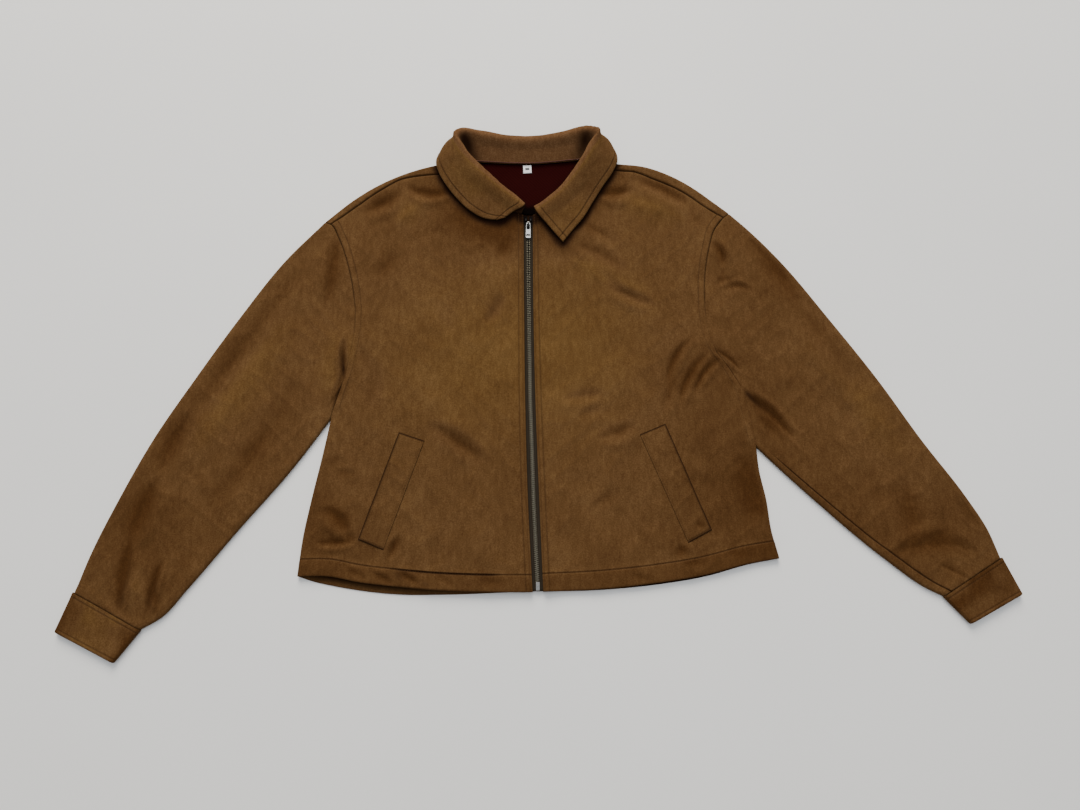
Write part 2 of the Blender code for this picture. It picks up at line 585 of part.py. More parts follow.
def sleeve_layout(side, lines, armhole_shares):
    """Plan of one sleeve layer, from the armhole to the cuff seam. Columns run from the outer edge."""
    armhole = along(seam_line(lines, "armhole", side, toward=-1), armhole_shares[::-1])
    v = np.linspace(0, 1, SLEEVE_ROWS + 1)
    left, right = along(lines["sleeve_outer"], v), along(lines["sleeve_inner"], v)
    left[0], right[0] = armhole[0], armhole[-1]
    u = shares_of(armhole)
    rings = np.array(EDGE_RINGS) / np.linalg.norm(right[-1] - left[-1])
    spread = np.interp(u, np.concatenate((u[:4], u[-4:])), np.concatenate((rings, 1 - rings[::-1])))
    cuff_end = left[-1] + (right[-1] - left[-1]) * spread[:, None]
    layout = patch(armhole, cuff_end, left, right, u, v)
    for ring in (1, 2, 3):
        for row in range(2, len(layout)):
            for edge, column, inside in ((left[row], ring, SLEEVE_INSIDE),
                                         (right[row], -1 - ring, -1 - SLEEVE_INSIDE)):
                toward = layout[row, inside] - edge
                layout[row, column] = edge + toward / np.linalg.norm(toward) * EDGE_RINGS[ring]
    return layout


def sleeve(side, lines, skin):
    upper = sleeve_layout(side, lines, upper_armhole_shares(lines))
    lower = sleeve_layout(side, lines, lower_armhole_shares(lines))
    return tube(f"sleeve_{side.name}", upper, lower, skin, WALL)


def cuff(side, lines):
    """A stiff band of two layers, a little wider than the sleeve's end."""
    seam_outer, seam_inner = lines["sleeve_outer"][-1], lines["sleeve_inner"][-1]
    across = (seam_inner - seam_outer) / np.linalg.norm(seam_inner - seam_outer)
    mouth_outer, mouth_inner = np.array(side.cuff_mouth, float)
    toward_mouth = (mouth_outer - seam_outer) / np.linalg.norm(mouth_outer - seam_outer)
    start_outer = seam_outer - across * CUFF_STEP + toward_mouth * SEAM_GAP
    start_inner = seam_inner + across * CUFF_STEP / 2 + toward_mouth * SEAM_GAP
    outer, inner = smooth((start_outer, mouth_outer)), smooth((start_inner, mouth_inner))
    skin = Skin([(outer, side.turn), (inner, -side.turn)], CUFF_RADIUS)
    rings = np.array(EDGE_RINGS) * CUFF_RADIUS / EDGE_RADIUS / np.linalg.norm(start_outer - start_inner)
    u = np.concatenate((rings, np.linspace(rings[-1], 1 - rings[-1], CUFF_COLUMNS)[1:-1], 1 - rings[::-1]))
    v = np.linspace(0, 1, CUFF_ROWS)
    left, right = along(outer, v), along(inner, v)
    layout = left[:, None] + (right - left)[:, None] * u[None, :, None]
    return tube(f"cuff_{side.name}", layout, layout.copy(), skin, DOUBLE_WALL)


# Collar ------------------------------------------------------------------------------------------
COLLAR_ALONG = 42
COLLAR_ACROSS_SHARES = np.array([0, 0.17, 0.33, 0.40, 0.45, 0.5, 0.55, 0.60, 0.66, 0.75, 0.84, 0.92, 1.0])


def collar_section(station, along_collar):
    """Seven places across the visible face at one station, from the neck seam to the leaf's edge."""
    seam, roll, leaf, edge = (np.array(station[i:i + 3], float) for i in (0, 3, 6, 9))
    down_stand = (seam - roll) / np.linalg.norm(seam - roll)
    leaf_side = np.cross(along_collar, down_stand)
    leaf_side /= np.linalg.norm(leaf_side)
    middle = roll + COLLAR_ROLL_RADIUS * down_stand
    stand_top = middle - COLLAR_ROLL_RADIUS * leaf_side
    leaf_top = middle + COLLAR_ROLL_RADIUS * leaf_side
    stand_middle = (seam + stand_top) / 2
    return np.array([seam, stand_middle, stand_top, roll, leaf_top, leaf, edge])


def collar():
    rolls = np.array([station[3:6] for station in COLLAR], float)
    tangents = np.gradient(rolls, axis=0)
    tangents /= np.linalg.norm(tangents, axis=1)[:, None]
    sections = np.array([collar_section(s, t) for s, t in zip(COLLAR, tangents)])
    station_shares = np.linspace(0, 1, COLLAR_ALONG)
    lines = [along(smooth(sections[:, place], 1.0), station_shares) for place in range(sections.shape[1])]
    table = np.stack(lines, axis=1)
    face = np.array([along(smooth(row, 0.5), COLLAR_ACROSS_SHARES) for row in table])
    along_step, across_step = np.gradient(face, axis=0), np.gradient(face, axis=1)
    out = np.cross(along_step, across_step)
    out /= np.linalg.norm(out, axis=2)[..., None]
    inner = face - out * DOUBLE_WALL
    face[..., 2] = np.maximum(face[..., 2], 0)
    inner[..., 2] = np.maximum(inner[..., 2], 0)
    mesh = wall_mesh(face.reshape(-1, 3), inner.reshape(-1, 3), grid_faces(*face.shape[:2]))
    return add_object("collar", *mesh, "suede")


# Pieces that lie on a panel ----------------------------------------------------------------------
def welt(row, skin):
    upper_outer, upper_inner, lower_inner, lower_outer = (np.array(c, float) for c in row.corners)
    u, v = np.linspace(0, 1, WELT_COLUMNS), np.linspace(0, 1, WELT_ROWS)
    layout = patch(upper_outer + (upper_inner - upper_outer) * u[:, None],
                   lower_outer + (lower_inner - lower_outer) * u[:, None],
                   upper_outer + (lower_outer - upper_outer) * v[:, None],
                   upper_inner + (lower_inner - upper_inner) * v[:, None], u, v)
    points, out = skin(layout, 1)
    mesh = wall_mesh((points + out * (WELT_GAP + WELT_WALL)).reshape(-1, 3),
                     (points + out * WELT_GAP).reshape(-1, 3), grid_faces(*layout.shape[:2]))
    return add_object(row.name, *mesh, "suede")


def lining():
    """The part of the back's lining that shows inside the neck."""
    shares = np.linspace(0, 1, LINING_COLUMNS)
    high, low = along(smooth(LINING_BORDER), shares), along(smooth(LINING_LOW_EDGE), shares)
    layout = np.array([low + (high - low) * share for share in np.linspace(0, 1, LINING_ROWS)])
    under = np.dstack((layout, np.full(layout.shape[:2], WALL + SEAM_GAP)))
    over = under + np.array([0, 0, LINING_WALL])
    mesh = wall_mesh(over.reshape(-1, 3), under.reshape(-1, 3), grid_faces(LINING_ROWS, LINING_COLUMNS))
    return add_object("lining", *mesh, "lining")


def prism(name, outline, low, high, material_name, axis=2):
    """A straight bar: a closed outline in the plane square to an axis, from low to high along it."""
    others = [i for i in range(3) if i != axis]
    points = np.zeros((2 * len(outline), 3))
    points[:, others[0]] = [p[0] for p in outline] * 2
    points[:, others[1]] = [p[1] for p in outline] * 2
    points[:len(outline), axis], points[len(outline):, axis] = low, high
    count = len(outline)
    faces = [(i, (i + 1) % count, (i + 1) % count + count, i + count) for i in range(count)]
    faces += [tuple(range(count))[::-1], tuple(range(count, 2 * count))]
    return add_object(name, points, faces, material_name, smooth_shading=False)


def box_outline(centre, size, turn=0.0):
    half_x, half_y = size[0] / 2, size[1] / 2
    corners = ((-half_x, -half_y), (half_x, -half_y), (half_x, half_y), (-half_x, half_y))
    cos, sin = math.cos(turn), math.sin(turn)
    return [(centre[0] + x * cos - y * sin, centre[1] + x * sin + y * cos) for x, y in corners]


def label():
    low = WALL + 2 * SEAM_GAP + LINING_WALL
    return prism("label", box_outline(LABEL_CENTRE, LABEL_SIZE, LABEL_TURN), low, low + LABEL_WALL, "label")


# Zip ---------------------------------------------------------------------------------------------
def zip_x(y):
    return float(np.interp(y, [p[1] for p in ZIP_LINE[::-1]], [p[0] for p in ZIP_LINE[::-1]]))


def zip_strip(name, inner_offset, outer_offset, low_y, high_y, thickness, material_name):
    """A flat strip that follows the zip between two distances from its middle."""
    levels = np.linspace(low_y, high_y, STRIP_LEVELS)
    outline = [(zip_x(y) + inner_offset, y) for y in levels]
    outline += [(zip_x(y) + outer_offset, y) for y in levels[::-1]]
    count = len(levels)
    points = np.array([(x, y, z) for z in (CHAIN_MIDDLE_Z - thickness / 2, CHAIN_MIDDLE_Z + thickness / 2)
                       for x, y in outline])
    faces = []
    for i in range(count - 1):
        j = 2 * count - 1 - i
        faces += [(i, j, j - 1, i + 1), (i + 2 * count, i + 1 + 2 * count, j - 1 + 2 * count, j + 2 * count)]
    for i in range(2 * count):
        after = (i + 1) % (2 * count)
        faces.append((i, after, after + 2 * count, i + 2 * count))
    return add_object(name, points, faces, material_name, smooth_shading=False)


def slider():
    """Two plates joined by a post above the chain, as a C open toward the hem, and a bail on top."""
    low = CHAIN_MIDDLE_Z - CHAIN_THICKNESS / 2 - SEAM_GAP - SLIDER_PLATE
    high = CHAIN_MIDDLE_Z + CHAIN_THICKNESS / 2 + SEAM_GAP + SLIDER_PLATE
    post_y = CHAIN_TOP_Y + SEAM_GAP
    outline = ((SLIDER_LOW_Y, low), (SLIDER_HIGH_Y, low), (SLIDER_HIGH_Y, high), (SLIDER_LOW_Y, high),
               (SLIDER_LOW_Y, high - SLIDER_PLATE), (post_y, high - SLIDER_PLATE),
               (post_y, low + SLIDER_PLATE), (SLIDER_LOW_Y, low + SLIDER_PLATE))
    middle = zip_x(SLIDER_LOW_Y)
    body = prism("zip_slider", outline, middle - POST_WIDTH / 2, middle + POST_WIDTH / 2, "nickel", axis=0)
    plate_outline = ((SLIDER_LOW_Y, high - SLIDER_PLATE), (SLIDER_HIGH_Y, high - SLIDER_PLATE),
                     (SLIDER_HIGH_Y, high), (SLIDER_LOW_Y, high))
    plate = prism("zip_slider_plate", plate_outline, middle - SLIDER_WIDTH / 2, middle + SLIDER_WIDTH / 2,
                  "nickel", axis=0)
    plate.hide_render = True
    plate.display_type = "WIRE"
    union = body.modifiers.new("wide plate", "BOOLEAN")
    union.operation = "UNION"
    union.object = plate
    foot = high + SEAM_GAP
    under_bar = BAIL_TOP_Z - BAIL_BAR
    arch = ((BAIL_LOW_Y, foot), (BAIL_LOW_Y + BAIL_BAR, foot), (BAIL_LOW_Y + BAIL_BAR, under_bar),
            (BAIL_HIGH_Y - BAIL_BAR, under_bar), (BAIL_HIGH_Y - BAIL_BAR, foot), (BAIL_HIGH_Y, foot),
            (BAIL_HIGH_Y, BAIL_TOP_Z), (BAIL_LOW_Y, BAIL_TOP_Z))
    prism("zip_bail", arch, middle - BAIL_WIDTH / 2, middle + BAIL_WIDTH / 2, "nickel", axis=0)


def closed_outline(half):
    """A closed outline from one side's distances from the middle and levels, mirrored to the other side."""
    return [(-x, y) for x, y in half] + [(x, y) for x, y in half[::-1]]


def pull():
    """The pull tab hangs from the bail by a slot at its top end; its origin is on its hinge axis."""
    middle = zip_x(PULL_AXIS_Y)
    near, far = PULL_AXIS_Y - PULL_HOLE_NEAR, PULL_AXIS_Y - PULL_HOLE_FAR
    beside_hole = (near + far) / 2
    top, bottom = PULL_AXIS_Y + PULL_TOP_REACH, PULL_AXIS_Y - PULL_LENGTH
    outer = closed_outline(((PULL_WAIST / 2, top), (PULL_WAIST / 2, beside_hole),
                            (PULL_WIDTH / 2, far - PULL_WIDENING), (PULL_WIDTH / 2, bottom + PULL_CORNER),
                            (PULL_WIDTH / 2 - PULL_CORNER, bottom)))
    corner_x, corner_y = PULL_HOLE_CORNER
    hole = closed_outline(((PULL_HOLE_WIDTH / 2, near), (PULL_HOLE_WIDTH / 2, beside_hole),
                           (PULL_HOLE_WIDTH / 2, far + corner_y), (PULL_HOLE_WIDTH / 2 - corner_x, far),
                           (PULL_HOLE_MIDDLE, far)))
    count = len(outer)
    low, high = PULL_AXIS_Z - PULL_THICKNESS / 2, PULL_AXIS_Z + PULL_THICKNESS / 2
    points = np.array([(middle + x, y, z) for z in (low, high) for x, y in outer + hole])
    faces = []
    for i in range(count):
        after = (i + 1) % count
        faces.append((i, i + count, after + count, after))
        faces.append(tuple(k + 2 * count for k in (after, after + count, i + count, i)))
        faces.append((i, after, after + 2 * count, i + 2 * count))
        faces.append((i + 3 * count, after + 3 * count, after + count, i + count))
    return add_object("zip_pull", points, faces, "nickel", pivot=(middle, PULL_AXIS_Y, PULL_AXIS_Z),
                      smooth_shading=False)


def zip_parts():
    half_chain = CHAIN_WIDTH / 2
    zip_strip("zip_chain", -half_chain, half_chain, CHAIN_BOTTOM_Y, CHAIN_TOP_Y, CHAIN_THICKNESS, "old_brass")
    tape_edge = half_chain + SEAM_GAP
    tape = (TAPE_BOTTOM_Y, TAPE_TOP_Y, TAPE_THICKNESS, "tape")
    zip_strip("zip_tape_right", -TAPE_REACH, -tape_edge, *tape)
    zip_strip("zip_tape_left", tape_edge, TAPE_REACH, *tape)
    slider()
    pull()
    tape_top = CHAIN_MIDDLE_Z + TAPE_THICKNESS / 2
    for name, offset in (("zip_stop_right", -STOP_OFFSET_X), ("zip_stop_left", STOP_OFFSET_X)):
        outline = box_outline((zip_x(STOP_Y) + offset, STOP_Y), STOP_SIZE[:2])
        prism(name, outline, tape_top + SEAM_GAP, tape_top + SEAM_GAP + STOP_SIZE[2], "nickel")
    box_middle = (zip_x(BOX_LOW_Y), (BOX_HIGH_Y + BOX_LOW_Y) / 2)
    prism("zip_box", box_outline(box_middle, (BOX_WIDTH, BOX_HIGH_Y - BOX_LOW_Y)),
          CHAIN_MIDDLE_Z - BOX_THICKNESS / 2, CHAIN_MIDDLE_Z + BOX_THICKNESS / 2, "nickel")


def main():
    for old in list(bpy.data.objects):
        bpy.data.objects.remove(old)
    sides = (RIGHT, LEFT)
    lines_by_side = {side.name: lines_of(side) for side in sides}
    edges = [(lines_by_side[side.name][name], side.turn if away else -side.turn)
             for side in sides
             for name, away in (("shoulder_fold", True), ("sleeve_outer", True), ("sleeve_inner", False),
                                ("body_side", True))]
    skin = Skin(edges, EDGE_RADIUS, FOLDS)
    back(sides, lines_by_side, skin)
    for side in sides:
        lines = lines_by_side[side.name]
        front(side, lines, skin)
        sleeve(side, lines, skin)
        cuff(side, lines)
    collar()
    for row in WELTS:
        welt(row, skin)
    lining()
    label()
    zip_parts()


main()
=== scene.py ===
# %% [markdown]
# # A suede zip jacket, laid flat
# The jacket lies on its back with the zip closed and both sleeves spread. Its cloth is thin,
# so nearly everything that the eye reads is in the outline, in a few soft folds, in the sewn
# edges and in the nap of the suede. The solids of the frame give the places and sizes. This
# script dresses them: each cloth piece becomes a fine shell over the same outline, and sewing
# and zip teeth are repeated along paths that are read from those shells.

# %% Load the frame
import math
from collections import namedtuple

import bpy
import numpy as np
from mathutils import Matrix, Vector


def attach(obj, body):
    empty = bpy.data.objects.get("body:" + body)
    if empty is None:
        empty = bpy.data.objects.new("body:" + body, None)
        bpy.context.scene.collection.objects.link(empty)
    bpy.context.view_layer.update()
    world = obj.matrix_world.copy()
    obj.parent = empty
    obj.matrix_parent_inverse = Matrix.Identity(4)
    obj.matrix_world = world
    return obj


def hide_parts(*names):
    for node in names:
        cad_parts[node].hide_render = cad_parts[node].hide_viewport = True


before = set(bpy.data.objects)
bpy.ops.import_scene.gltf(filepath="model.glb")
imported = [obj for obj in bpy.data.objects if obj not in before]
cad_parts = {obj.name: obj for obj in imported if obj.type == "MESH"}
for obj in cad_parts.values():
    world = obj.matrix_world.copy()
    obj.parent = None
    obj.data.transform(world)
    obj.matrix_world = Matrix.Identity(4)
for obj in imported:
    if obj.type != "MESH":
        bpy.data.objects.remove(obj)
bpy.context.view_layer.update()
print("nodes:", ", ".join(sorted(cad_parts)))

# %% [markdown]
# ## Units and the plan
# A pattern cutter thinks in millimetres, so every size below is in millimetres and is turned
# into metres only when a mesh is made. Outlines are measured from a point near the zip, and
# PLAN_CENTRE says where the frame's origin lies as seen from there.

# %% Units
MM = 0.001
PLAN_CENTRE = np.array([1.0, -2.35, 0.0])


def to_frame(points):
    """Points in millimetres on the pattern, as metres in the frame."""
    return (np.asarray(points, float) - PLAN_CENTRE) * MM


def add_object(name, data):
    """A new object in the scene."""
    made = bpy.data.objects.new(name, data)
    bpy.context.scene.collection.objects.link(made)
    return made


# %% [markdown]
# ## Camera, floor and light
# The view is from nearly straight above, tilted toward the collar, through a fairly wide lens.
# Light comes from a large soft source above the collar, a weaker one overhead and a pale sky,
# so shadows stay short and soft and the folds read by gentle shading.

# %% Camera
CAMERA_PLACE, CAMERA_TILT = (0.0, -254.0, 1031.0), math.radians(12)
CAMERA_LENS, SENSOR_WIDTH = 27.03, 36

camera = add_object("camera", bpy.data.cameras.new("camera"))
camera.data.lens, camera.data.sensor_width = CAMERA_LENS, SENSOR_WIDTH
camera.location = tuple(to_frame(CAMERA_PLACE))
camera.rotation_euler = (CAMERA_TILT, 0, 0)
bpy.context.scene.camera = camera
print("camera at", [round(place, 3) for place in camera.location])


# %% [markdown]
# ## Helpers for materials
# Every material below is built in the same few steps: make its shader, add nodes, fill their
# inputs. A node that is given as a value stands for its first output.

# %% Nodes
def linear(code):
    """An sRGB hex colour as the linear values that Blender works in."""
    shares = [int(code[i:i + 2], 16) / 255 for i in (1, 3, 5)]
    return (*(c / 12.92 if c <= 0.04045 else ((c + 0.055) / 1.055) ** 2.4 for c in shares), 1.0)


def fill(tree, node, inputs):
    """Sets a node's inputs to values, or links them to sockets or to a node's first output."""
    for socket, value in inputs.items():
        if isinstance(value, bpy.types.Node):
            value = next(output for output in value.outputs if output.enabled)
        if isinstance(value, bpy.types.NodeSocket):
            tree.links.new(value, node.inputs[socket])
        else:
            node.inputs[socket].default_value = value
    return node


def add_node(tree, kind, inputs=None, **settings):
    """Adds one node, sets its settings and fills its inputs."""
    made = tree.nodes.new(kind)
    for name, value in settings.items():
        setattr(made, name, value)
    return fill(tree, made, inputs or {})


def new_material(name, roughness, metallic=0.0, **shader_values):
    """A material with its own shader, whose constants sit on the shader's sockets."""
    made = bpy.data.materials.new(name)
    made.use_nodes = True
    shader = made.node_tree.nodes["Principled BSDF"]
    fill(made.node_tree, shader, {"Roughness": roughness, "Metallic": metallic})
    fill(made.node_tree, shader, {key.replace("_", " "): v for key, v in shader_values.items()})
    return made, made.node_tree, shader


# %% Floor, sky and lights
FLOOR_HALF, FLOOR_DROP = 4.0, 0.0002       # metres; the drop keeps it clear of the cloth
SKY_COLOUR, SKY_STRENGTH = "#eef1f4", 0.42
LIGHTS = (("window", (-0.55, 4.2, 3.0), 3.4, 384, "#fff8ee"),
          ("ceiling", (0.1, 0.4, 3.1), 3.0, 47, "#f6f8ff"))      # name, place, size, power, colour

concrete, tree, shader = new_material("painted concrete", 0.6)
cloud = add_node(tree, "ShaderNodeTexNoise", {
    "Vector": add_node(tree, "ShaderNodeTexCoord").outputs["Object"], "Scale": 3.0})
fill(tree, shader, {"Base Color": add_node(tree, "ShaderNodeMix", {
    "Factor": cloud, "A": linear("#e4e4e1"), "B": linear("#ebebe8")}, data_type="RGBA")})
mesh = bpy.data.meshes.new("floor")
mesh.from_pydata([(x * FLOOR_HALF, y * FLOOR_HALF, -FLOOR_DROP)
                  for x, y in ((-1, -1), (1, -1), (1, 1), (-1, 1))], [], [(0, 1, 2, 3)])
mesh.materials.append(concrete)
add_object("floor", mesh)

world = bpy.data.worlds.new("sky")
world.use_nodes = True
fill(world.node_tree, world.node_tree.nodes["Background"],
     {"Color": linear(SKY_COLOUR), "Strength": SKY_STRENGTH})
bpy.context.scene.world = world

for name, place, size, power, colour in LIGHTS:
    data = bpy.data.lights.new(name, "AREA")
    data.shape, data.size, data.energy, data.color = "DISK", size, power, linear(colour)[:3]
    light = add_object(name, data)
    light.location = place
    light.rotation_euler = (-Vector(place)).to_track_quat("-Z", "Y").to_euler()

# %% [markdown]
# ## The outline
# The jacket's pattern is two mirrored halves that did not fall quite alike, so each half has its
# own row of curves. Every curve is a short list of corners that a smooth line runs through. It
# runs away from the neck or, where it lies across a piece, from the outer edge inward. Left and
# right are the wearer's.

# %% Outline
Side = namedtuple("Side", "name turn shoulder_fold shoulder_seam armhole sleeve_outer sleeve_inner "
                          "cuff_mouth body_side front_hem back_hem front_edge neckline hem_depth")
RIGHT = Side(
    name="right", turn=1, hem_depth=21.0,
    shoulder_fold=((-102, 309), (-126, 306), (-168, 296), (-221, 273), (-254, 251), (-292, 218)),
    shoulder_seam=((-102, 293), (-140, 288), (-165, 286), (-189, 281), (-219, 263), (-250, 240),
                   (-283, 214)),
    armhole=((-292, 218), (-283, 214), (-272, 195), (-257, 155), (-247, 110), (-244, 79),
             (-247, 40), (-254, 4), (-263, -27), (-270, -55)),
    sleeve_outer=((-292, 218), (-341, 164), (-399, 80), (-450, -2), (-496, -81), (-532, -158),
                  (-562, -233), (-574, -273)),
    sleeve_inner=((-270, -55), (-316, -120), (-378, -196), (-436, -269), (-464, -302),
                  (-489, -317)),
    cuff_mouth=((-593, -319), (-517, -356)),
    body_side=((-270, -55), (-278, -101), (-289, -158), (-297, -206), (-301, -253)),
    front_hem=((-301, -253), (-262, -253), (-224, -260), (-181, -265), (-138, -269), (-53, -272),
               (-9, -272)),
    back_hem=((-301, -253), (-282, -259), (-254, -265), (-224, -270), (-171, -275), (-117, -275),
              (-3, -271)),
    front_edge=((-22, 228), (-21.5, 150), (-21, 106), (-19, -30), (-15, -159), (-9, -272)),
    neckline=((-102, 293), (-98, 278), (-80, 257), (-56, 243), (-34, 234), (-22, 228)),
)
LEFT = Side(
    name="left", turn=-1, hem_depth=22.0,
    shoulder_fold=((73, 310), (105, 305), (145, 300), (183, 285), (212, 267), (236, 248),
                   (257, 231)),
    shoulder_seam=((73, 294), (110, 293), (133, 291), (155, 282), (187, 267), (204, 256),
                   (226, 239), (249, 224)),
    armhole=((257, 231), (249, 224), (236, 207), (228, 182), (222, 152), (219, 120), (219, 90),
             (222, 62), (231, 36), (249, 9), (262, -15), (270, -48), (277, -91)),
    sleeve_outer=((257, 231), (282, 207), (321, 164), (383, 80), (440, -2), (489, -81), (540, -157),
                  (561, -195), (573, -231)),
    sleeve_inner=((277, -91), (306, -120), (346, -158), (431, -233), (479, -268), (498, -277)),
    cuff_mouth=((595, -274), (527, -310)),
    body_side=((277, -91), (279, -120), (286, -158), (290, -196), (298, -231)),
    front_hem=((298, -231), (261, -237), (205, -251), (143, -261), (61, -269), (4, -271.5)),
    back_hem=((298, -231), (261, -238), (205, -253), (143, -263), (61, -270), (-3, -271)),
    front_edge=((-10, 228), (-9.5, 150), (-9, 106), (-6, -30), (-1, -159), (4, -271.5)),
    neckline=((73, 294), (69, 278), (50, 257), (26, 243), (4, 235), (-10, 228)),
)
SIDES = (RIGHT, LEFT)
BACK_NECK = ((-102, 309), (-82, 309), (-42, 307), (-8, 307), (28, 309), (53, 311), (73, 310))
ZIP_LINE = ((-16, 230), (-15.5, 150), (-15, 106), (-12.5, -30), (-8, -159), (-2.5, -274))

# %% [markdown]
# ## Lines
# Every line is kept as a dense row of points, so a place on it is found by the length that is
# walked to get there.

# %% Curves
LINE_STEP = 1.5


def walked(line):
    """Length walked along a line at each of its points."""
    return np.concatenate(([0], np.cumsum(np.linalg.norm(np.diff(line, axis=0), axis=1))))


def smooth(points, step=LINE_STEP):
    """Dense points along a smooth curve through the given ones."""
    points = np.asarray(points, float)
    if len(points) == 2:
        count = max(2, int(np.linalg.norm(points[1] - points[0]) / step))
        return points[0] + (points[1] - points[0]) * np.linspace(0, 1, count)[:, None]
    knots = walked(points)
    slopes = np.gradient(points, knots, axis=0)
    at = np.linspace(0, knots[-1], max(2, int(knots[-1] / step)))
    span = np.clip(np.searchsorted(knots, at, side="right") - 1, 0, len(knots) - 2)
    width = (knots[span + 1] - knots[span])[:, None]
    t = ((at - knots[span]) / width[:, 0])[:, None]
    return ((2 * t ** 3 - 3 * t ** 2 + 1) * points[span]
            + (t ** 3 - 2 * t ** 2 + t) * width * slopes[span]
            + (3 * t ** 2 - 2 * t ** 3) * points[span + 1]
            + (t ** 3 - t ** 2) * width * slopes[span + 1])


def along(line, shares):
    """Points at the given shares of a dense line's length."""
    length = walked(line)
    at = np.asarray(shares) * length[-1]
    return np.stack([np.interp(at, length, line[:, axis]) for axis in range(line.shape[1])], axis=1)


def left_normals(line):
    """Unit vectors in the plan, to the left of the direction of travel."""
    tangent = np.gradient(line[:, :2], axis=0)
    tangent /= np.linalg.norm(tangent, axis=1)[:, None]
    return np.stack([-tangent[:, 1], tangent[:, 0]], axis=1)


def unit(vectors):
    return vectors / np.maximum(np.linalg.norm(vectors, axis=-1, keepdims=True), 1e-9)


LINES = {side.name: {name: smooth(points) for name, points in side._asdict().items()
                     if name not in ("name", "turn", "hem_depth")} for side in SIDES}
for side in SIDES:
    print(f"{side.name} armhole: {walked(LINES[side.name]['armhole'])[-1]:.0f} mm")

# %% [markdown]
# ## Grids with close rings
# Cloth is described here by grids of quads between four border curves, known as Coons patches.
# The sewn edges need much finer steps than the middle of a panel. So each border gets a set of
# rings at true distances from it, and the ring under a row of stitches lies exactly under it.

# %% Rings
CLOTH_STEP = 3.0
SEAM_GAP = 0.16
LIP_RINGS = (0, 0.15, 0.45, 0.9, 1.6, 2.6)        # where a cut or turned edge rounds over
EDGE_RADIUS = 3.2                                 # of the folded edges of body and sleeves
FOLD_RINGS = tuple(EDGE_RADIUS * (1 - math.cos(math.radians(a))) for a in range(0, 91, 15))


def stitch_rings(base, *places):
    """Border rings, with close ones round each row of stitches at the given distances."""
    close = [place + offset for place in places for offset in (-2.2, -1.3, -0.7, 0, 0.7, 1.3, 2.2)]
    extra = [d for d in close if d > base[-1] + 0.3]
    return np.array([*base, *extra])


def ring_at(rings, distance):
    """The number of the ring at a distance from its border."""
    return int(np.argmin(np.abs(np.asarray(rings) - distance)))


def shares_along(length, step, start=(0,), end=(0,), stops=()):
    """Places along a line as shares of its length: rings at both ends, even steps between."""
    ends = [start[-1] / length, *stops, 1 - end[-1] / length]
    places = [np.array(start) / length]
    for low, high in zip(ends, ends[1:]):
        count = max(1, round((high - low) * length / step))
        places.append(np.linspace(low, high, count + 1)[1:])
    return np.concatenate((*places, 1 - np.array(end[::-1][1:]) / length))


# %% Grids
def patch(bottom, top, left, right, u, v):
    """A grid between four border lines: columns follow u, rows follow v."""
    u, v = np.asarray(u)[None, :, None], np.asarray(v)[:, None, None]
    ruled = (1 - v) * bottom[None] + v * top[None] + (1 - u) * left[:, None] + u * right[:, None]
    corners = ((1 - v) * (1 - u) * bottom[0] + (1 - v) * u * bottom[-1]
               + v * (1 - u) * top[0] + v * u * top[-1])
    return ruled - corners


def respaced(grid, start, end):
    """Slides each row's points so that its end rings are at true distances."""
    first, last = len(start) - 1, grid.shape[1] - len(end)
    rows = []
    for row in grid:
        place = walked(row)
        share = (place[first:last + 1] - place[first]) / (place[last] - place[first])
        inner = start[-1] + share * (place[-1] - end[-1] - start[-1])
        rings_at_end = place[-1] - np.array(end[:-1])[::-1]
        rows.append(along(row, np.concatenate((start[:-1], inner, rings_at_end)) / place[-1]))
    return np.array(rows)


def set_rings(grid, left=(0,), right=(0,), bottom=(0,), top=(0,)):
    """A grid whose rings lie at their true distances from its four borders."""
    grid = respaced(grid, left, right)
    return respaced(grid.transpose(1, 0, 2), bottom, top).transpose(1, 0, 2)


def run(grid, axis):
    """Length walked along every line of a grid, from its start, along rows (1) or columns (0)."""
    steps = np.linalg.norm(np.diff(grid, axis=axis), axis=2)
    start = np.zeros_like(np.take(steps, [0], axis=axis))
    return np.concatenate((start, np.cumsum(steps, axis=axis)), axis=axis)


def from_borders(grid):
    """Distances from a grid's left, right, bottom and top borders, along its lines."""
    across, up = run(grid, 1), run(grid, 0)
    return across, across[:, -1:] - across, up, up[-1:] - up
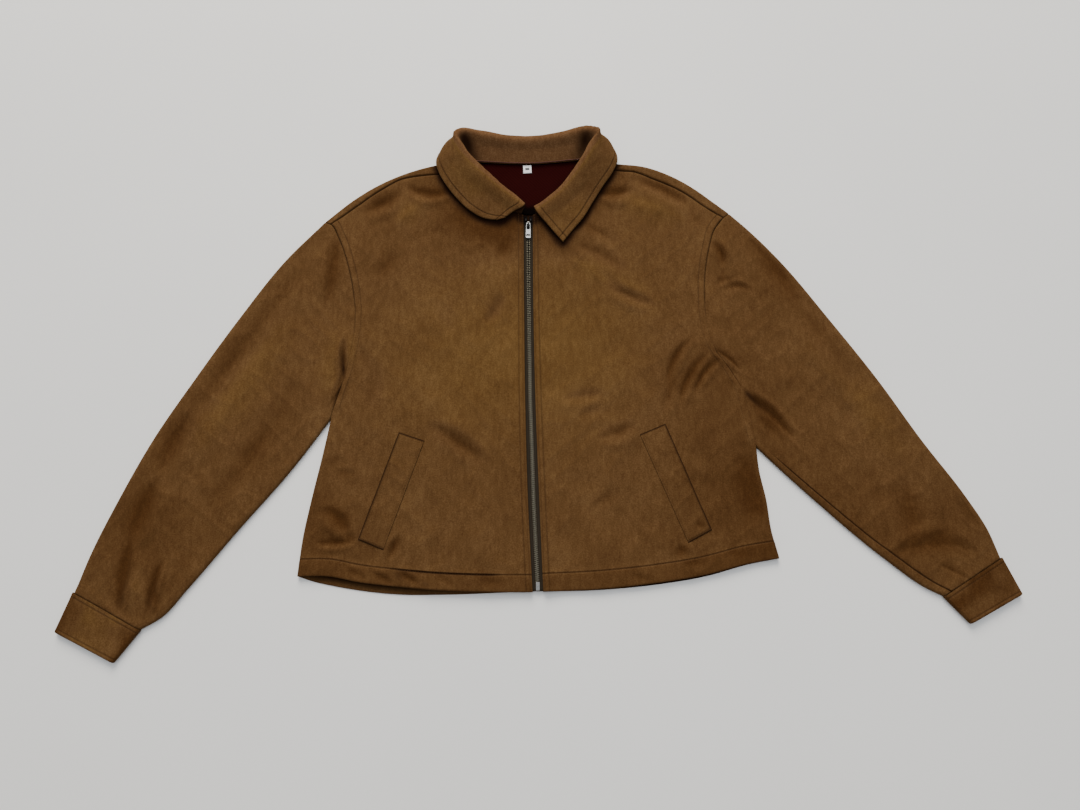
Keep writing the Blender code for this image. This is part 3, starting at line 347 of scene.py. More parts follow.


# %% [markdown]
# ## Folds, noise and sewn edges
# A fold is a soft trough or ridge along a given line: its row gives both ends,
# a sideways bend, a half width, a height, and the side of its pushed-up shoulder: left (1) or
# right (-1) of its direction, or none (0). The large ones are the same as in the solids. The
# small creases come on top, and a little smooth noise keeps the cloth between them from looking
# like sheet metal. A row of stitches pulls the cloth down along its line, swells the turned
# allowance beside it, and puckers it unevenly.

# %% Folds of the right sleeve
Fold = namedtuple("Fold", "start_x start_y end_x end_y bend half_width height side")
RIGHT_SLEEVE_FOLDS = (
    # from its head down to the cuff
    (-276, 200, -282, 100, 2, 8.5, -3.4, -1),
    (-259, 52, -255, -6, 0, 4.5, -4.2, -1),
    (-246, 60, -250, 8, 0, 7, 1.6, 0),
    (-258, 4, -268, -40, 2, 5, -2.4, -1),
    (-270, 64, -276, -30, 0, 12, 1.6, 0),
    (-352, 100, -455, -57, 2, 16, -2.4, 0),
    (-450, -45, -484, -130, -3, 14, -3.0, 1),
    (-482, -128, -512, -215, -3, 13, -3.0, 1),
    (-511, -205, -517, -300, -1, 7, -3.4, 1),
    (-468, -232, -480, -298, -3, 5, -3.2, 1),
    (-478, -262, -470, -300, 2, 4, -1.6, 0),
    (-495, -235, -500, -300, 0, 9, 1.9, 0),
    (-540, -230, -545, -290, 0, 12, 1.1, 0),
    (-308, 1, -430, -187, 8, 17, -1.9, 0),
    (-330, 84, -448, -120, 0, 22, 2.2, 0),
    (-320, 150, -372, 76, 3, 12, -0.9, 0),
    (-392, -40, -440, -140, 4, 12, -0.8, 0),
    (-415, -200, -452, -262, -3, 9, -0.8, 0),
    (-345, -60, -390, -120, 3, 8, -0.7, 0),
)

# %% Folds of the right front
RIGHT_FRONT_FOLDS = (
    # from the shoulder down to the hem
    (-120, 262, -186, 271, 8, 8, -3.5, 1),
    (-186, 264, -245, 230, 3, 10, -2.7, 1),
    (-150, 250, -200, 212, 0, 14, 2.2, 0),
    (-190, 174, -219, 137, 0, 10, -1.8, 0),
    (-42, 196, -54, 160, 0, 9, -1.9, 0),
    (-50, 116, -72, 72, 2, 9, -2.4, 1),
    (-125, 112, -122, 56, 0, 10, -0.8, 0),
    (-218, 27, -215, -47, 0, 11, -1.6, 0),
    (-240, 44, -222, 8, 2, 6, -0.9, 0),
    (-146, -60, -68, -114, 2, 10, -2.7, 1),
    (-258, -122, -234, -128, 0, 5, -1.2, 1),
    (-264, -98, -262, -120, 0, 8, -1.1, 0),
    (-272, -168, -240, -200, 3, 9, -3.0, -1),
    (-250, -176, -243, -198, 0, 6, -1.6, 0),
    (-228, -209, -282, -212, 2, 4.5, -2.7, 1),
    (-228, -207, -246, -202, 0, 3.5, -1.4, 0),
    (-176, -202, -188, -234, 0, 5, -3.0, -1),
    (-178, -247, -148, -263, 0, 4, -1.9, 1),
    (-208, -248, -182, -262, 0, 4, -1.4, 1),
    (-240, -244, -214, -256, 0, 4, -1.1, 1),
    (-128, -252, -104, -266, 0, 4, -0.8, 1),
    (-80, -258, -40, -262, 0, 6, -1.1, 0),
)

# %% Folds of the left front
LEFT_FRONT_FOLDS = (
    # from the shoulder down to the hem
    (78, 262, 128, 266, -4, 8, -3.0, -1),
    (128, 283, 210, 236, 4, 10, -3.0, -1),
    (206, 240, 213, 208, 0, 7, -1.4, 0),
    (96, 244, 200, 216, 8, 15, 2.2, 0),
    (48, 186, 118, 146, 3, 9, -2.2, -1),
    (35, 168, 150, 112, -4, 8, 2.0, 0),
    (84, 134, 152, 99, -3, 8, -2.6, -1),
    (70, 150, 118, 124, -2, 5, -1.6, -1),
    (58, 214, 96, 190, 3, 6, -1.2, -1),
    (60, 204, 112, 180, 4, 9, -0.8, 0),
    (200, 56, 166, -20, -9, 6, -3.0, 1),
    (222, 36, 180, -42, -8, 5.5, -3.1, 1),
    (238, 28, 200, -20, -5, 5, -2.4, 1),
    (226, 38, 262, 8, 4, 4, -2.2, -1),
    (186, 10, 160, -60, -6, 6, -1.4, 1),
    (26, -30, 90, -22, 3, 8, -1.8, -1),
    (40, -52, 96, -44, 3, 8, -0.9, -1),
    (74, -80, 124, -60, -3, 9, -2.3, -1),
    (64, -168, 106, -146, 0, 9, -1.1, 0),
    (256, -96, 270, -190, 2, 15, -1.9, 0),
    (276, -150, 284, -180, 0, 6, -1.1, 0),
    (172, -214, 180, -230, 0, 6, -2.4, 1),
    (192, -188, 208, -194, 0, 5, -1.1, 0),
    (175, -240, 205, -234, 0, 4, -1.1, 0),
    (110, -250, 135, -258, 0, 4, -0.8, 1),
    (232, -224, 262, -228, 0, 5, -0.9, 0),
)

# %% Folds of the left sleeve
LEFT_SLEEVE_FOLDS = (
    # from its head down to the cuff
    (233, 192, 246, 152, 3, 5.5, -3.5, 1),
    (246, 150, 240, 130, 0, 5, -1.4, 0),
    (240, 118, 284, 120, 7, 4.5, -1.9, 1),
    (232, 128, 262, 134, 3, 4.5, -1.1, 1),
    (268, 214, 345, 92, 5, 14, -2.4, -1),
    (340, 96, 415, -30, 4, 15, -2.2, -1),
    (266, -20, 326, -82, 2, 7, -3.4, 1),
    (276, -46, 312, -86, 0, 7, -1.4, 0),
    (262, -56, 272, -92, 0, 4, 1.6, 0),
    (335, 88, 470, -120, 0, 22, 1.9, 0),
    (300, 40, 350, -30, 4, 10, -0.8, 0),
    (350, 20, 420, -90, 4, 12, -0.8, 0),
    (400, -110, 436, -170, 3, 10, -0.8, 0),
    (458, -128, 462, -214, 4, 15, -1.9, -1),
    (430, -232, 546, -224, 14, 11, -1.9, 1),
    (476, -214, 520, -196, 3, 8, -1.0, 0),
    (530, -158, 552, -196, 0, 8, -1.1, 0),
    (490, -236, 530, -256, 0, 5, -1.2, 0),
)
UPPER_FOLDS = tuple(Fold(*row) for row in (
    *RIGHT_SLEEVE_FOLDS, *RIGHT_FRONT_FOLDS, *LEFT_FRONT_FOLDS, *LEFT_SLEEVE_FOLDS))

# %% Folds of the underside
# The underside lies on the ground and can only lift off it.
LOWER_FOLDS = tuple(Fold(*row) for row in (
    (-150, -40, -60, 10, 6, 12, 0.9, 0),
    (60, 20, 150, -30, -5, 11, 0.9, 0),
    (-236, -150, -160, -196, 4, 10, 0.8, 0),
    (180, -136, 248, -190, -4, 10, 0.9, 0),
    (-60, -180, 44, -204, 3, 13, 0.7, 0),
    (-110, 120, -20, 156, 5, 12, 0.8, 0),
    (46, 136, 128, 92, -4, 11, 0.7, 0),
    (-232, 66, -206, -24, 3, 9, 0.9, 0),
    (214, 34, 190, -66, -6, 8, 0.9, 0),
    (196, 10, 160, -60, -5, 7, 0.8, 0),
    (-300, 62, -362, -44, 4, 12, 0.8, 0),
    (-384, -96, -436, -196, 5, 11, 0.9, 0),
    (-470, -196, -500, -276, -2, 8, 0.9, 0),
    (-452, -220, -470, -286, 2, 6, 0.7, 0),
    (300, 64, 366, -44, -4, 12, 0.8, 0),
    (388, -86, 446, -172, -4, 11, 0.9, 0),
    (470, -184, 524, -232, 3, 8, 0.8, 0),
    (296, -40, 340, -90, 2, 7, 0.9, 0),
))
print("folds:", len(UPPER_FOLDS), "on top and", len(LOWER_FOLDS), "underneath")

# %% Fold heights
FOLD_POINTED, FOLD_END_WIDTH = 2.0, 0.6             # how a fold fades and narrows to its ends
CORE_WIDTH, CORE_SHARE = 0.45, 0.4                  # its narrow middle
SHOULDER_SHARE, SHOULDER_AWAY, SHOULDER_WIDTH = 0.65, 1.6, 0.8
FOLD_SHADE_WIDTH = 1.2


def smooth_step(value, low, high):
    t = np.clip((value - low) / (high - low), 0, 1)
    return t * t * (3 - 2 * t)


def fold_height(xy, fold):
    """Height of one fold at places of the plan, and its wider shade."""
    start, end = np.array(fold[:2]), np.array(fold[2:4])
    length = np.linalg.norm(end - start)
    direction = (end - start) / length
    offset = xy - start
    share = np.clip(offset @ direction / length, 0, 1)
    fade = 1 - np.abs(2 * share - 1) ** FOLD_POINTED
    across = offset @ np.array([-direction[1], direction[0]]) - fold.bend * 4 * share * (1 - share)
    across = across / (fold.half_width * (FOLD_END_WIDTH + (1 - FOLD_END_WIDTH) * fade))
    nearest = direction * (offset @ direction)[:, None].clip(0, length)
    there = fold.height * fade * (np.linalg.norm(offset - nearest, axis=1) < 4 * fold.half_width)
    profile = ((1 - CORE_SHARE) * np.exp(-across ** 2)
               + CORE_SHARE * np.exp(-(across / CORE_WIDTH) ** 2))
    if fold.side:
        away = (across - fold.side * SHOULDER_AWAY) / SHOULDER_WIDTH
        profile -= SHOULDER_SHARE * np.exp(-away ** 2)
    return np.array([there * profile, there * np.exp(-(across / FOLD_SHADE_WIDTH) ** 2)])


LATTICE = 256                # random heights a side, before the noise repeats


def noise(x, y, size, seed):
    """Smooth random heights from -1 to 1, with hills about one size across."""
    lattice = np.random.default_rng(seed).uniform(-1, 1, (LATTICE, LATTICE))
    column, row = np.floor(x / size).astype(int), np.floor(y / size).astype(int)
    tx, ty = smooth_step(x / size - column, 0, 1), smooth_step(y / size - row, 0, 1)
    low, high = (lattice[column % LATTICE, at % LATTICE] * (1 - tx)
                 + lattice[(column + 1) % LATTICE, at % LATTICE] * tx for at in (row, row + 1))
    return low * (1 - ty) + high * ty


# %% [markdown]
# ## Relief of the two layers
# The upper cloth has folds, waves of two sizes and fine wrinkles that slant away from the zip.
# All of them fade toward the edges, where sewing holds the cloth.

# %% Relief
ZIP_RISE, ZIP_RISE_FULL, ZIP_RISE_REACH = 0.8, 10.0, 22.0
LOWEST_TROUGH, FOLD_FADE, WAVE_FADE = -2.9, 14.0, 8.0
WAVES = ((0.9, 46, 3), (0.4, 17, 4))       # height, width of a hill and seed
WRINKLE, WRINKLE_SLANT, WRINKLE_SHARPNESS = 0.7, 0.9, 5
# share of the full height, how far a wrinkle is drawn out across and down the slant, size, seed
WRINKLES = ((1, 1, 3, 26, 9), (0.5, 2.5, 1, 22, 10))
FOLD_SHADE, FOLD_SHADE_RANGE = 0.28, (-0.8, 0.6)
LOWER_HIGHEST, LOWER_FADE = 0.9, (4, 20)
LOWER_WAVES = ((1, 60, 5), (0.5, 24, 6))
LOWER_WAVE_HEIGHT, LOWER_WAVE_START = 0.5, 0.1      # only the tops of its waves are left


def zip_x(y):
    return np.interp(y, [p[1] for p in ZIP_LINE[::-1]], [p[0] for p in ZIP_LINE[::-1]])


def upper_relief(xy, distance):
    """Height of the upper cloth above its plain level, and the light and shade painted along its
    folds.
    """
    x, y = xy.T
    over_zip = 1 - smooth_step(np.abs(x - zip_x(y)), ZIP_RISE_FULL, ZIP_RISE_REACH)
    folds, shade = sum(fold_height(xy, fold) for fold in UPPER_FOLDS)
    folds = np.maximum(folds, LOWEST_TROUGH) * smooth_step(distance, 1, FOLD_FADE)
    waves = sum(height * noise(x, y, size, seed) for height, size, seed in WAVES)
    slant = np.where(x < zip_x(y), WRINKLE_SLANT, -WRINKLE_SLANT)
    across, down = y + slant * x, y - x / slant
    for share, wide, long, size, seed in WRINKLES:
        ripple = noise(across / wide, down / long, size, seed)
        waves += share * WRINKLE * (1 - np.abs(ripple)) ** WRINKLE_SHARPNESS
    inside = smooth_step(distance, 0.5, WAVE_FADE)
    height = (folds + waves * inside) * (1 - over_zip) + ZIP_RISE * over_zip
    return height, np.clip(FOLD_SHADE * shade, *FOLD_SHADE_RANGE) * inside


def lower_relief(xy, distance):
    """The underside rests on the ground, so it only lifts off it, in a few low folds and waves."""
    folds = sum(fold_height(xy, fold)[0] for fold in LOWER_FOLDS)
    waves = sum(height * noise(*xy.T, size, seed) for height, size, seed in LOWER_WAVES)
    lifted = LOWER_WAVE_HEIGHT * np.clip(waves - LOWER_WAVE_START, 0, 1)
    height = np.clip(folds + lifted, 0, LOWER_HIGHEST)
    return height * smooth_step(distance, *LOWER_FADE), np.zeros(len(xy))


# %% [markdown]
# ## Sewn edges
# A seam's row gives the stitch line's distance from the edge, how far the allowance swells, how
# deep the groove and the puckers are, how long a pucker is, how far the cloth falls at the edge,
# and a seed.

# %% Sewn edges
Seam = namedtuple("Seam", "stitch_at swell groove pucker pucker_length fall seed")
STITCH_SHADE, STITCH_REACH = 0.55, 0.95
SWELL_FADE, PUCKER_REACH = 3, 0.9        # millimetres past the stitches, share of a pucker's length
SEAM_SHADE, SEAM_SHADE_REACH, FALL_REACH = 0.65, 0.8, 1.3


def bell(distance, reach):
    return np.exp(-(distance / reach) ** 2)


def sewn(seam, distance, position):
    """Relief beside a sewn edge, from the distance to it and the place along it, and the shade
    painted into its groove and down the seam.
    """
    from_stitch = distance - seam.stitch_at
    swell = seam.swell * (1 - smooth_step(from_stitch, 0, SWELL_FADE))
    line = seam.groove * bell(from_stitch, STITCH_REACH)
    wave = noise(position, np.zeros_like(position), seam.pucker_length, seam.seed)
    pucker = seam.pucker * wave * bell(from_stitch, PUCKER_REACH * seam.pucker_length)
    # painted shade: darker along the stitch groove and where the cloth falls at the seam
    shade = STITCH_SHADE * line + SEAM_SHADE * min(seam.fall, 1) * bell(distance, SEAM_SHADE_REACH)
    return swell - line + pucker - seam.fall * bell(distance, FALL_REACH), shade


# %% [markdown]
# ## From plan to cloth
# The upper layer lies one folded edge high above the ground and the lower layer on it. Close to
# a folded edge the cloth turns down in a quarter circle, so the two layers meet halfway up.
# A wall then gets its thickness along the directions square to the grid, and its cut edges are
# rounded to a lip.

# %% Folded edges
CHUNK = 3000                 # points measured at a time


class Edges:
    """The folded edges of a garment: how far a point of the plan is from them, and the way in."""

    def __init__(self, radius, *curves):
        self.radius = radius
        self.points = np.concatenate([curve for curve, _ in curves])
        self.inward = np.concatenate([left_normals(curve) * turn for curve, turn in curves])

    def measure(self, xy):
        chunks = np.array_split(xy, len(xy) // CHUNK + 1)
        nearest = np.concatenate([((c[:, None] - self.points) ** 2).sum(axis=2).argmin(axis=1)
                                  for c in chunks])
        offset = xy - self.points[nearest]
        square_on = np.abs((offset * self.inward[nearest]).sum(axis=1))
        direct = np.linalg.norm(offset, axis=1)
        beside = direct ** 2 - square_on ** 2 < LINE_STEP ** 2
        return np.where(beside, square_on, direct), self.inward[nearest]


BODY_EDGES = Edges(EDGE_RADIUS, *(
    (LINES[side.name][name], side.turn * way) for side in SIDES for name, way in (
        ("shoulder_fold", 1), ("sleeve_outer", 1), ("sleeve_inner", -1), ("body_side", 1))))


def grid_normals(points, layer):
    """Unit directions square to a grid of points, pointing up for layer 1 and down for -1."""
    normal = unit(np.cross(np.gradient(points, axis=1), np.gradient(points, axis=0)))
    return normal * (1 if normal[..., 2].sum() * layer > 0 else -1)


# %% Layers
SLOPE_PAINTED_LIGHT, SLOPE_PAINTED_LIGHT_REACH = 0.9, (1, 7)     # painted light: how much a slope of the cloth toward the lamp lightens it


def lay(plan, layer, relief, detail=0.0, folded=None, edges=BODY_EDGES):
    """Points, outward directions and the painted light and shade of one cloth layer over a plan
    grid.
    """
    flat = plan.reshape(-1, 2)
    distance, inward = edges.measure(flat)
    turned = np.clip(1 - distance / edges.radius, 0, 1)
    if folded is not None:
        turned[folded.ravel()] = 1.0
    height, lie = relief(flat, distance)
    z = edges.radius * (1 + layer * np.sqrt(1 - turned ** 2)) + height
    points = np.dstack((plan, z.reshape(plan.shape[:2]) + detail))
    out = grid_normals(points, layer)
    # painted light: cloth that faces the collar side, where the main lamp is, is painted lighter,
    # and cloth that faces the hem darker
    if layer > 0:
        lie += SLOPE_PAINTED_LIGHT * out[..., 1].ravel() * smooth_step(distance, *SLOPE_PAINTED_LIGHT_REACH)
    out[..., 2] = layer * np.abs(out[..., 2])
    if folded is not None:
        outward = np.column_stack((-inward, np.zeros(len(flat)))).reshape(points.shape)
        out[folded] = outward[folded]
    return points, out, lie.reshape(plan.shape[:2])


def both_borders(plan):
    """Marks a plan's first and last columns, which lie on a folded edge."""
    folded = np.zeros(plan.shape[:2], bool)
    folded[:, [0, -1]] = True
    return folded


# %% [markdown]
# ## Walls
# Only the visible face of a cloth is designed. Its other face is the same grid moved in by the
# thickness, and a rim of quads joins the two wherever the grid has an open edge.

# %% Walls
LIP_RADIUS = 1.4
LIP_SHARE = 0.15             # of the wall's thickness left at the very edge


def quads(number, closed=False):
    """Faces between the neighbours of a grid of point numbers."""
    if closed:
        number = np.concatenate((number, number[:, :1]), axis=1)
    corners = (number[:-1, :-1], number[:-1, 1:], number[1:, 1:], number[1:, :-1])
    return np.stack([c.ravel() for c in corners], axis=1)


def grid_faces(rows, columns, closed=False):
    return quads(np.arange(rows * columns).reshape(rows, columns), closed)


def wall(points, out, lip, faces, thickness):
    """A closed wall under a cloth face. lip is each point's distance from the nearest cut edge."""
    turned = np.clip(1 - lip / LIP_RADIUS, 0, 1)
    share = LIP_SHARE + (1 - LIP_SHARE) * np.sqrt(1 - turned ** 2)
    middle, half = points - out * thickness / 2, out * (thickness / 2 * share)[:, None]
    count = len(points)
    starts, ends = faces.ravel(), np.roll(faces, -1, axis=1).ravel()
    open_edge = ~np.isin(ends * count + starts, starts * count + ends)
    a, b = starts[open_edge], ends[open_edge]
    rim = np.stack((b, a, a + count, b + count), axis=1)
    return (np.concatenate((middle + half, middle - half)),
            np.concatenate((faces, faces[:, ::-1] + count, rim)))


def volume(points, faces):
    """Six times the signed volume of a mesh of quads."""
    a, b, c, d = (points[faces[:, i]] for i in range(4))
    return (a * (np.cross(b, c) + np.cross(c, d))).sum()


# %% [markdown]
# ## Nap and shade
# Suede shows where a hand went over it: stroked up it looks lighter, stroked down darker. Light
# and shade are painted in as well: folds, slopes, the hem, the cuffs and the collar are painted
# lighter or darker by how the light falls, and cloth that lies under the collar's leaves or closes
# over itself in a crease gets little light, so it is painted dark. The nap and the painted light
# share a value from -1 to 2, and the darker painted shade is kept as a value from 0 to 1, both on
# the mesh for the material to read.

# %% Nap
ToneAndShadeSpot = namedtuple("ToneAndShadeSpot", "x y reach_x reach_y amount")
TONE_AND_SHADE_SPOTS = tuple(ToneAndShadeSpot(*row) for row in (
    # where the suede looks lighter (above 0) or darker (below 0), from its nap and, in the rows
    # marked below, from painted shade
    (20, 50, 140, 120, 0.7),
    (-120, 10, 110, 90, 0.4),
    (250, -140, 100, 140, -0.55),
    (200, 20, 60, 60, -0.3),
    (420, -200, 120, 70, -0.35),
    (520, -200, 70, 60, -0.25),
    # painted shade over the deep folds above the right cuff
    (-500, -220, 70, 90, -0.5),
    (-290, -190, 60, 60, -0.5),
    # painted shadow below the collar's leaves, in these two rows
    (-62, 203, 64, 36, -0.8),
    (-120, 225, 40, 30, -0.3),
    (-230, 190, 60, 60, -0.2),
    (330, 130, 60, 60, -0.3),
))


def tone_and_shade_at(xy):
    """How much lighter or darker the suede is at places of the plan, from its nap and from painted
    shade, from -1 to 1.
    """
    x, y = xy.T
    return sum(b.amount * bell(x - b.x, b.reach_x) * bell(y - b.y, b.reach_y) for b in TONE_AND_SHADE_SPOTS)


def near_box(xy, line, reach):
    """The numbers of the points that lie in a line's box, widened by a reach."""
    inside = (xy >= line.min(axis=0) - reach) & (xy <= line.max(axis=0) + reach)
    return np.flatnonzero(inside.all(axis=1))


# %% [markdown]
# ## Hollows
# The leaves of the collar keep the light off the cloth next to them, so it is painted dark there,
# and a broader painted shade lies further out. Deep creases are drawn as lines with a width.

# %% Under the collar
LEAF_SHADE_REACH, LEAF_SHADE_DROP = 5.2, 2.6
# painted shade: a broad, soft darkening of the nap below the leaves, and how far it reaches
LEAF_BROAD_SHADE, LEAF_BROAD_SHADE_REACH, LEAF_REACH = 0.5, 24.0, 60
LEAVES = (
    # where the collar's two leaves lie on the cloth, then the patch between their front ends over
    # the zip's top, painted dark as shade
    ((-20, 241), (-36, 229), (-52, 218), (-77, 222), (-97, 234), (-114, 251), (-128, 269),
     (-138, 286), (-143, 300), (-108, 318), (-82, 295), (-50, 266)),
    ((-8, 237), (12, 210), (31, 187), (44, 204), (58, 221), (71, 243), (86, 268), (100, 289),
     (107, 307), (69, 320), (42, 283), (11, 250)),
    ((-32, 238), (-34, 231), (-23, 221), (-9, 219), (4, 223), (12, 214), (4, 238)),
)


def under_collar(xy):
    """How far the collar's leaves keep the light off the cloth, as painted shade, and a broader
    painted shade below them.
    """
    shade, broad_shade = np.zeros(len(xy)), np.zeros(len(xy))
    for leaf in LEAVES:
        line = smooth((*leaf, leaf[0])) - (0, LEAF_SHADE_DROP)
        near = near_box(xy, line, LEAF_REACH)
        if len(near) == 0:
            continue
        offset = xy[near, None] - line[None, ::2]
        reach = np.linalg.norm(offset, axis=2).min(axis=1)
        angle = np.unwrap(np.arctan2(offset[..., 1], offset[..., 0]), axis=1)
        inside = np.abs(angle[:, -1] - angle[:, 0]) > math.pi
        shade[near] = np.maximum(shade[near], np.where(inside, 1, bell(reach, LEAF_SHADE_REACH)))
        broad_shade[near] = np.maximum(broad_shade[near], LEAF_BROAD_SHADE * bell(reach, LEAF_BROAD_SHADE_REACH))
    return shade, broad_shade


# %% Deep creases
Crease = namedtuple("Crease", "width shade peak points")
CREASES = tuple(Crease(*row) for row in (
    # painted shade where the cloth closes over itself in a crease and would stay dark inside; peak
    # is the darkest share of it
    (2.0, 1.0, 0.75, ((-259, 50), (-258.5, 34), (-257, 15), (-255, -2))),
    (1.5, 0.8, 0.3, ((-254.5, 2), (-259, -12), (-264, -26), (-268, -42), (-271, -56))),
    (3.0, 0.8, 0.2, ((263, -14), (270, -23), (283, -36), (300, -53))),
    (1.5, 0.5, 0.3, ((222, 40), (234, 32), (248, 19), (264, 3))),
    (3.5, 0.4, 0.5, ((-185, -246), (-175, -252), (-164, -259))),
    (3.0, 0.35, 0.5, ((-150, -258), (-141, -262), (-133, -267))),
    (5.5, 0.32, 0.65, ((-509, -236), (-514, -272), (-518, -306))),
    (4.5, 0.32, 0.6, ((-473, -248), (-479, -276), (-483, -302))),
))


def crease_shade(xy):
    """How dark the deep creases are at places of the plan, from 0 to 1."""
    shade = np.zeros(len(xy))
    for crease in CREASES:
        line = smooth(crease.points)
        near = near_box(xy, line, 3 * crease.width)
        if len(near) == 0:
            continue
        away = np.linalg.norm(xy[near, None] - line[None], axis=2)
        share = away.argmin(axis=1) / (len(line) - 1)
        rise = np.minimum(share / crease.peak, (1 - share) / (1 - crease.peak))
        dark = crease.shade * smooth_step(rise, 0, 1) * bell(away.min(axis=1), crease.width)
        shade[near] = np.maximum(shade[near], dark)
    return shade


# %% [markdown]
# ## Pieces
# A piece is one object of the jacket. Pieces are kept by name, because they get their finish and
# their place in the frame at the very end. Rows of stitches are only noted here and sewn later.

# %% Pieces
INSIDE_SHADE = 0.5
PIECES = {}


def keep(name, mesh, *finishes):
    """A finished mesh as an object, kept by its name."""
    for finish in finishes:
        mesh.materials.append(finish)
    PIECES[name] = add_object(name, mesh)
    print(f"{name}: {len(mesh.loops) - 2 * len(mesh.polygons)} triangles")


def add_piece(name, points, faces, uv=None, **values):
    """A piece from points in millimetres and quads, smooth and facing out, with its values."""
    if volume(points, faces) < 0:
        faces = faces[:, ::-1]
    mesh = bpy.data.meshes.new(name)
    mesh.from_pydata(to_frame(points).tolist(), [], faces.tolist())
    mesh.shade_smooth()
    if uv is not None:
        corner = np.zeros(len(mesh.loops), np.int32)
        mesh.loops.foreach_get("vertex_index", corner)
        places = (uv[corner] * MM).astype(np.float32).ravel()
        mesh.uv_layers.new(name="cloth").data.foreach_set("uv", places)
    for attribute, value in values.items():
        data = mesh.attributes.new(attribute, "FLOAT", "POINT").data
        data.foreach_set("value", value.astype(np.float32))
    keep(name, mesh)


# %% Cloth walls
def add_wall(name, points, out, lip, hollow, thickness, faces=None, uv=None, nap=0.0,
             inside=INSIDE_SHADE):
    """A cloth wall as a piece, from grids or from flat lists with their faces."""
    faces = grid_faces(*lip.shape) if faces is None else faces
    hollow, nap, inside = (np.broadcast_to(a, lip.shape).ravel() for a in (hollow, nap, inside))
    points, out = points.reshape(-1, 3), out.reshape(-1, 3)
    shell, shell_faces = wall(points, out, lip.ravel(), faces, thickness)
    plan = points[:, :2]
    # painted shade: the dark under the collar's leaves and in the deep creases joins the piece's
    # own painted shade, and the nap value gets the tone and shade spots, less the broad painted
    # shade below the collar
    shade, broad_shade = under_collar(plan)
    shade = np.clip(np.maximum.reduce((hollow, crease_shade(plan), shade)), 0, 1)
    nap_light_and_shade = np.clip(tone_and_shade_at(shell[:, :2]) + np.tile(nap - broad_shade, 2), -1, 1)
    add_piece(name, shell, shell_faces, None if uv is None else np.tile(uv, (2, 1)),
              hollow=np.concatenate((shade, inside)), nap=nap_light_and_shade)


STITCH_PATHS, LOWEST_STITCH = {}, 0.3


def sew(group, path):
    """Keeps a path of points for a row of stitches, clear of the ground."""
    STITCH_PATHS.setdefault(group, []).append(np.maximum(path, (-np.inf, -np.inf, LOWEST_STITCH)))


# %% [markdown]
# ## The fronts
# Each front runs from the zip to the side edge. Its hem is turned up and sewn, its zip edge is
# turned under and topstitched, and the armhole seam's allowance is pressed to the body and
# topstitched too. The hem line is pulled wide between the right welt and the zip.

# %% Seams
WALL, HEM_PAINTED_SHADE, HEM_ROPE = 1.3, -0.35, 1.0
ROPE_STARTS, ROPE_ENDS = (-190, -165), (-65, -45)
HEM_THICK, HEM_THICK_SHADE = 1.9, 0.55
FLUSH = 1.5                  # lip distance that keeps a seam's edge square, so it hardly shows
ZIP_EDGE_STITCH, ZIP_STITCH, ARMHOLE_STITCH = 2.4, 8.0, 9.0
ARMHOLE_POINTS, ABOVE_UNDERARM, STITCHED_ABOVE = 240, (0.01, 0.05), 0.02
FIRST_RING, LAST_RING = 4, -5            # where the rows of stitches start and end
HALF_SHIFT = 700                         # so that the two halves pucker in different places
SIDE_RINGS = stitch_rings(FOLD_RINGS, ARMHOLE_STITCH)
ZIP_RINGS = stitch_rings((0, 0.15, 0.45, 0.9, 1.5, 2.0, 2.4, 2.8, 3.5), ZIP_STITCH)
SEAMS = {
    "hem": Seam(21, 0.8, 1.1, 0.35, 13, 0.3, 11),
    "zip": Seam(ZIP_STITCH, 0.6, 0.7, 0.18, 9, 0.3, 12),
    "zip_edge": Seam(ZIP_EDGE_STITCH, 0.0, 0.45, 0.10, 7, 0.0, 17),
    "armhole": Seam(ARMHOLE_STITCH, 0.9, 0.7, 0.3, 10, 0.7, 13),
    "shoulder": Seam(0.5, 0.0, 0.3, 0.12, 9, 0.9, 14),
    "sleeve_head": Seam(0.5, 0.0, 0.2, 0.5, 11, 0.8, 15),
    "cuff_end": Seam(0.5, 0.0, 0.2, 0.6, 9, 0.5, 16),
}
SEAM_SHOWS = {
    # how clearly the armhole seam shows at each height, from the underarm up
    "right": ((-60, 0.9), (-10, 0.9), (4, 0.5), (20, 0.2), (60, 0.35), (120, 1), (230, 1)),
    "left": ((-90, 0.1), (-20, 0.1), (8, 0.6), (34, 0.7), (46, 0.1), (72, 0.05), (112, 0.9),
             (230, 1)),
}


def armhole_shows(side, y):
    return np.interp(y, *zip(*SEAM_SHOWS[side.name]))


def wrap_share(lines):
    """Share of the armhole, from its top, that the back's wrap over the shoulder takes."""
    wrap = np.linalg.norm(lines["shoulder_seam"][-1] - lines["armhole"][0])
    return wrap / walked(lines["armhole"])[-1]


def shifted(line, side, toward):
    """A seam's line moved half a seam gap to one side. toward is 1 for the body and the front."""
    return line + left_normals(line) * side.turn * toward * SEAM_GAP / 2


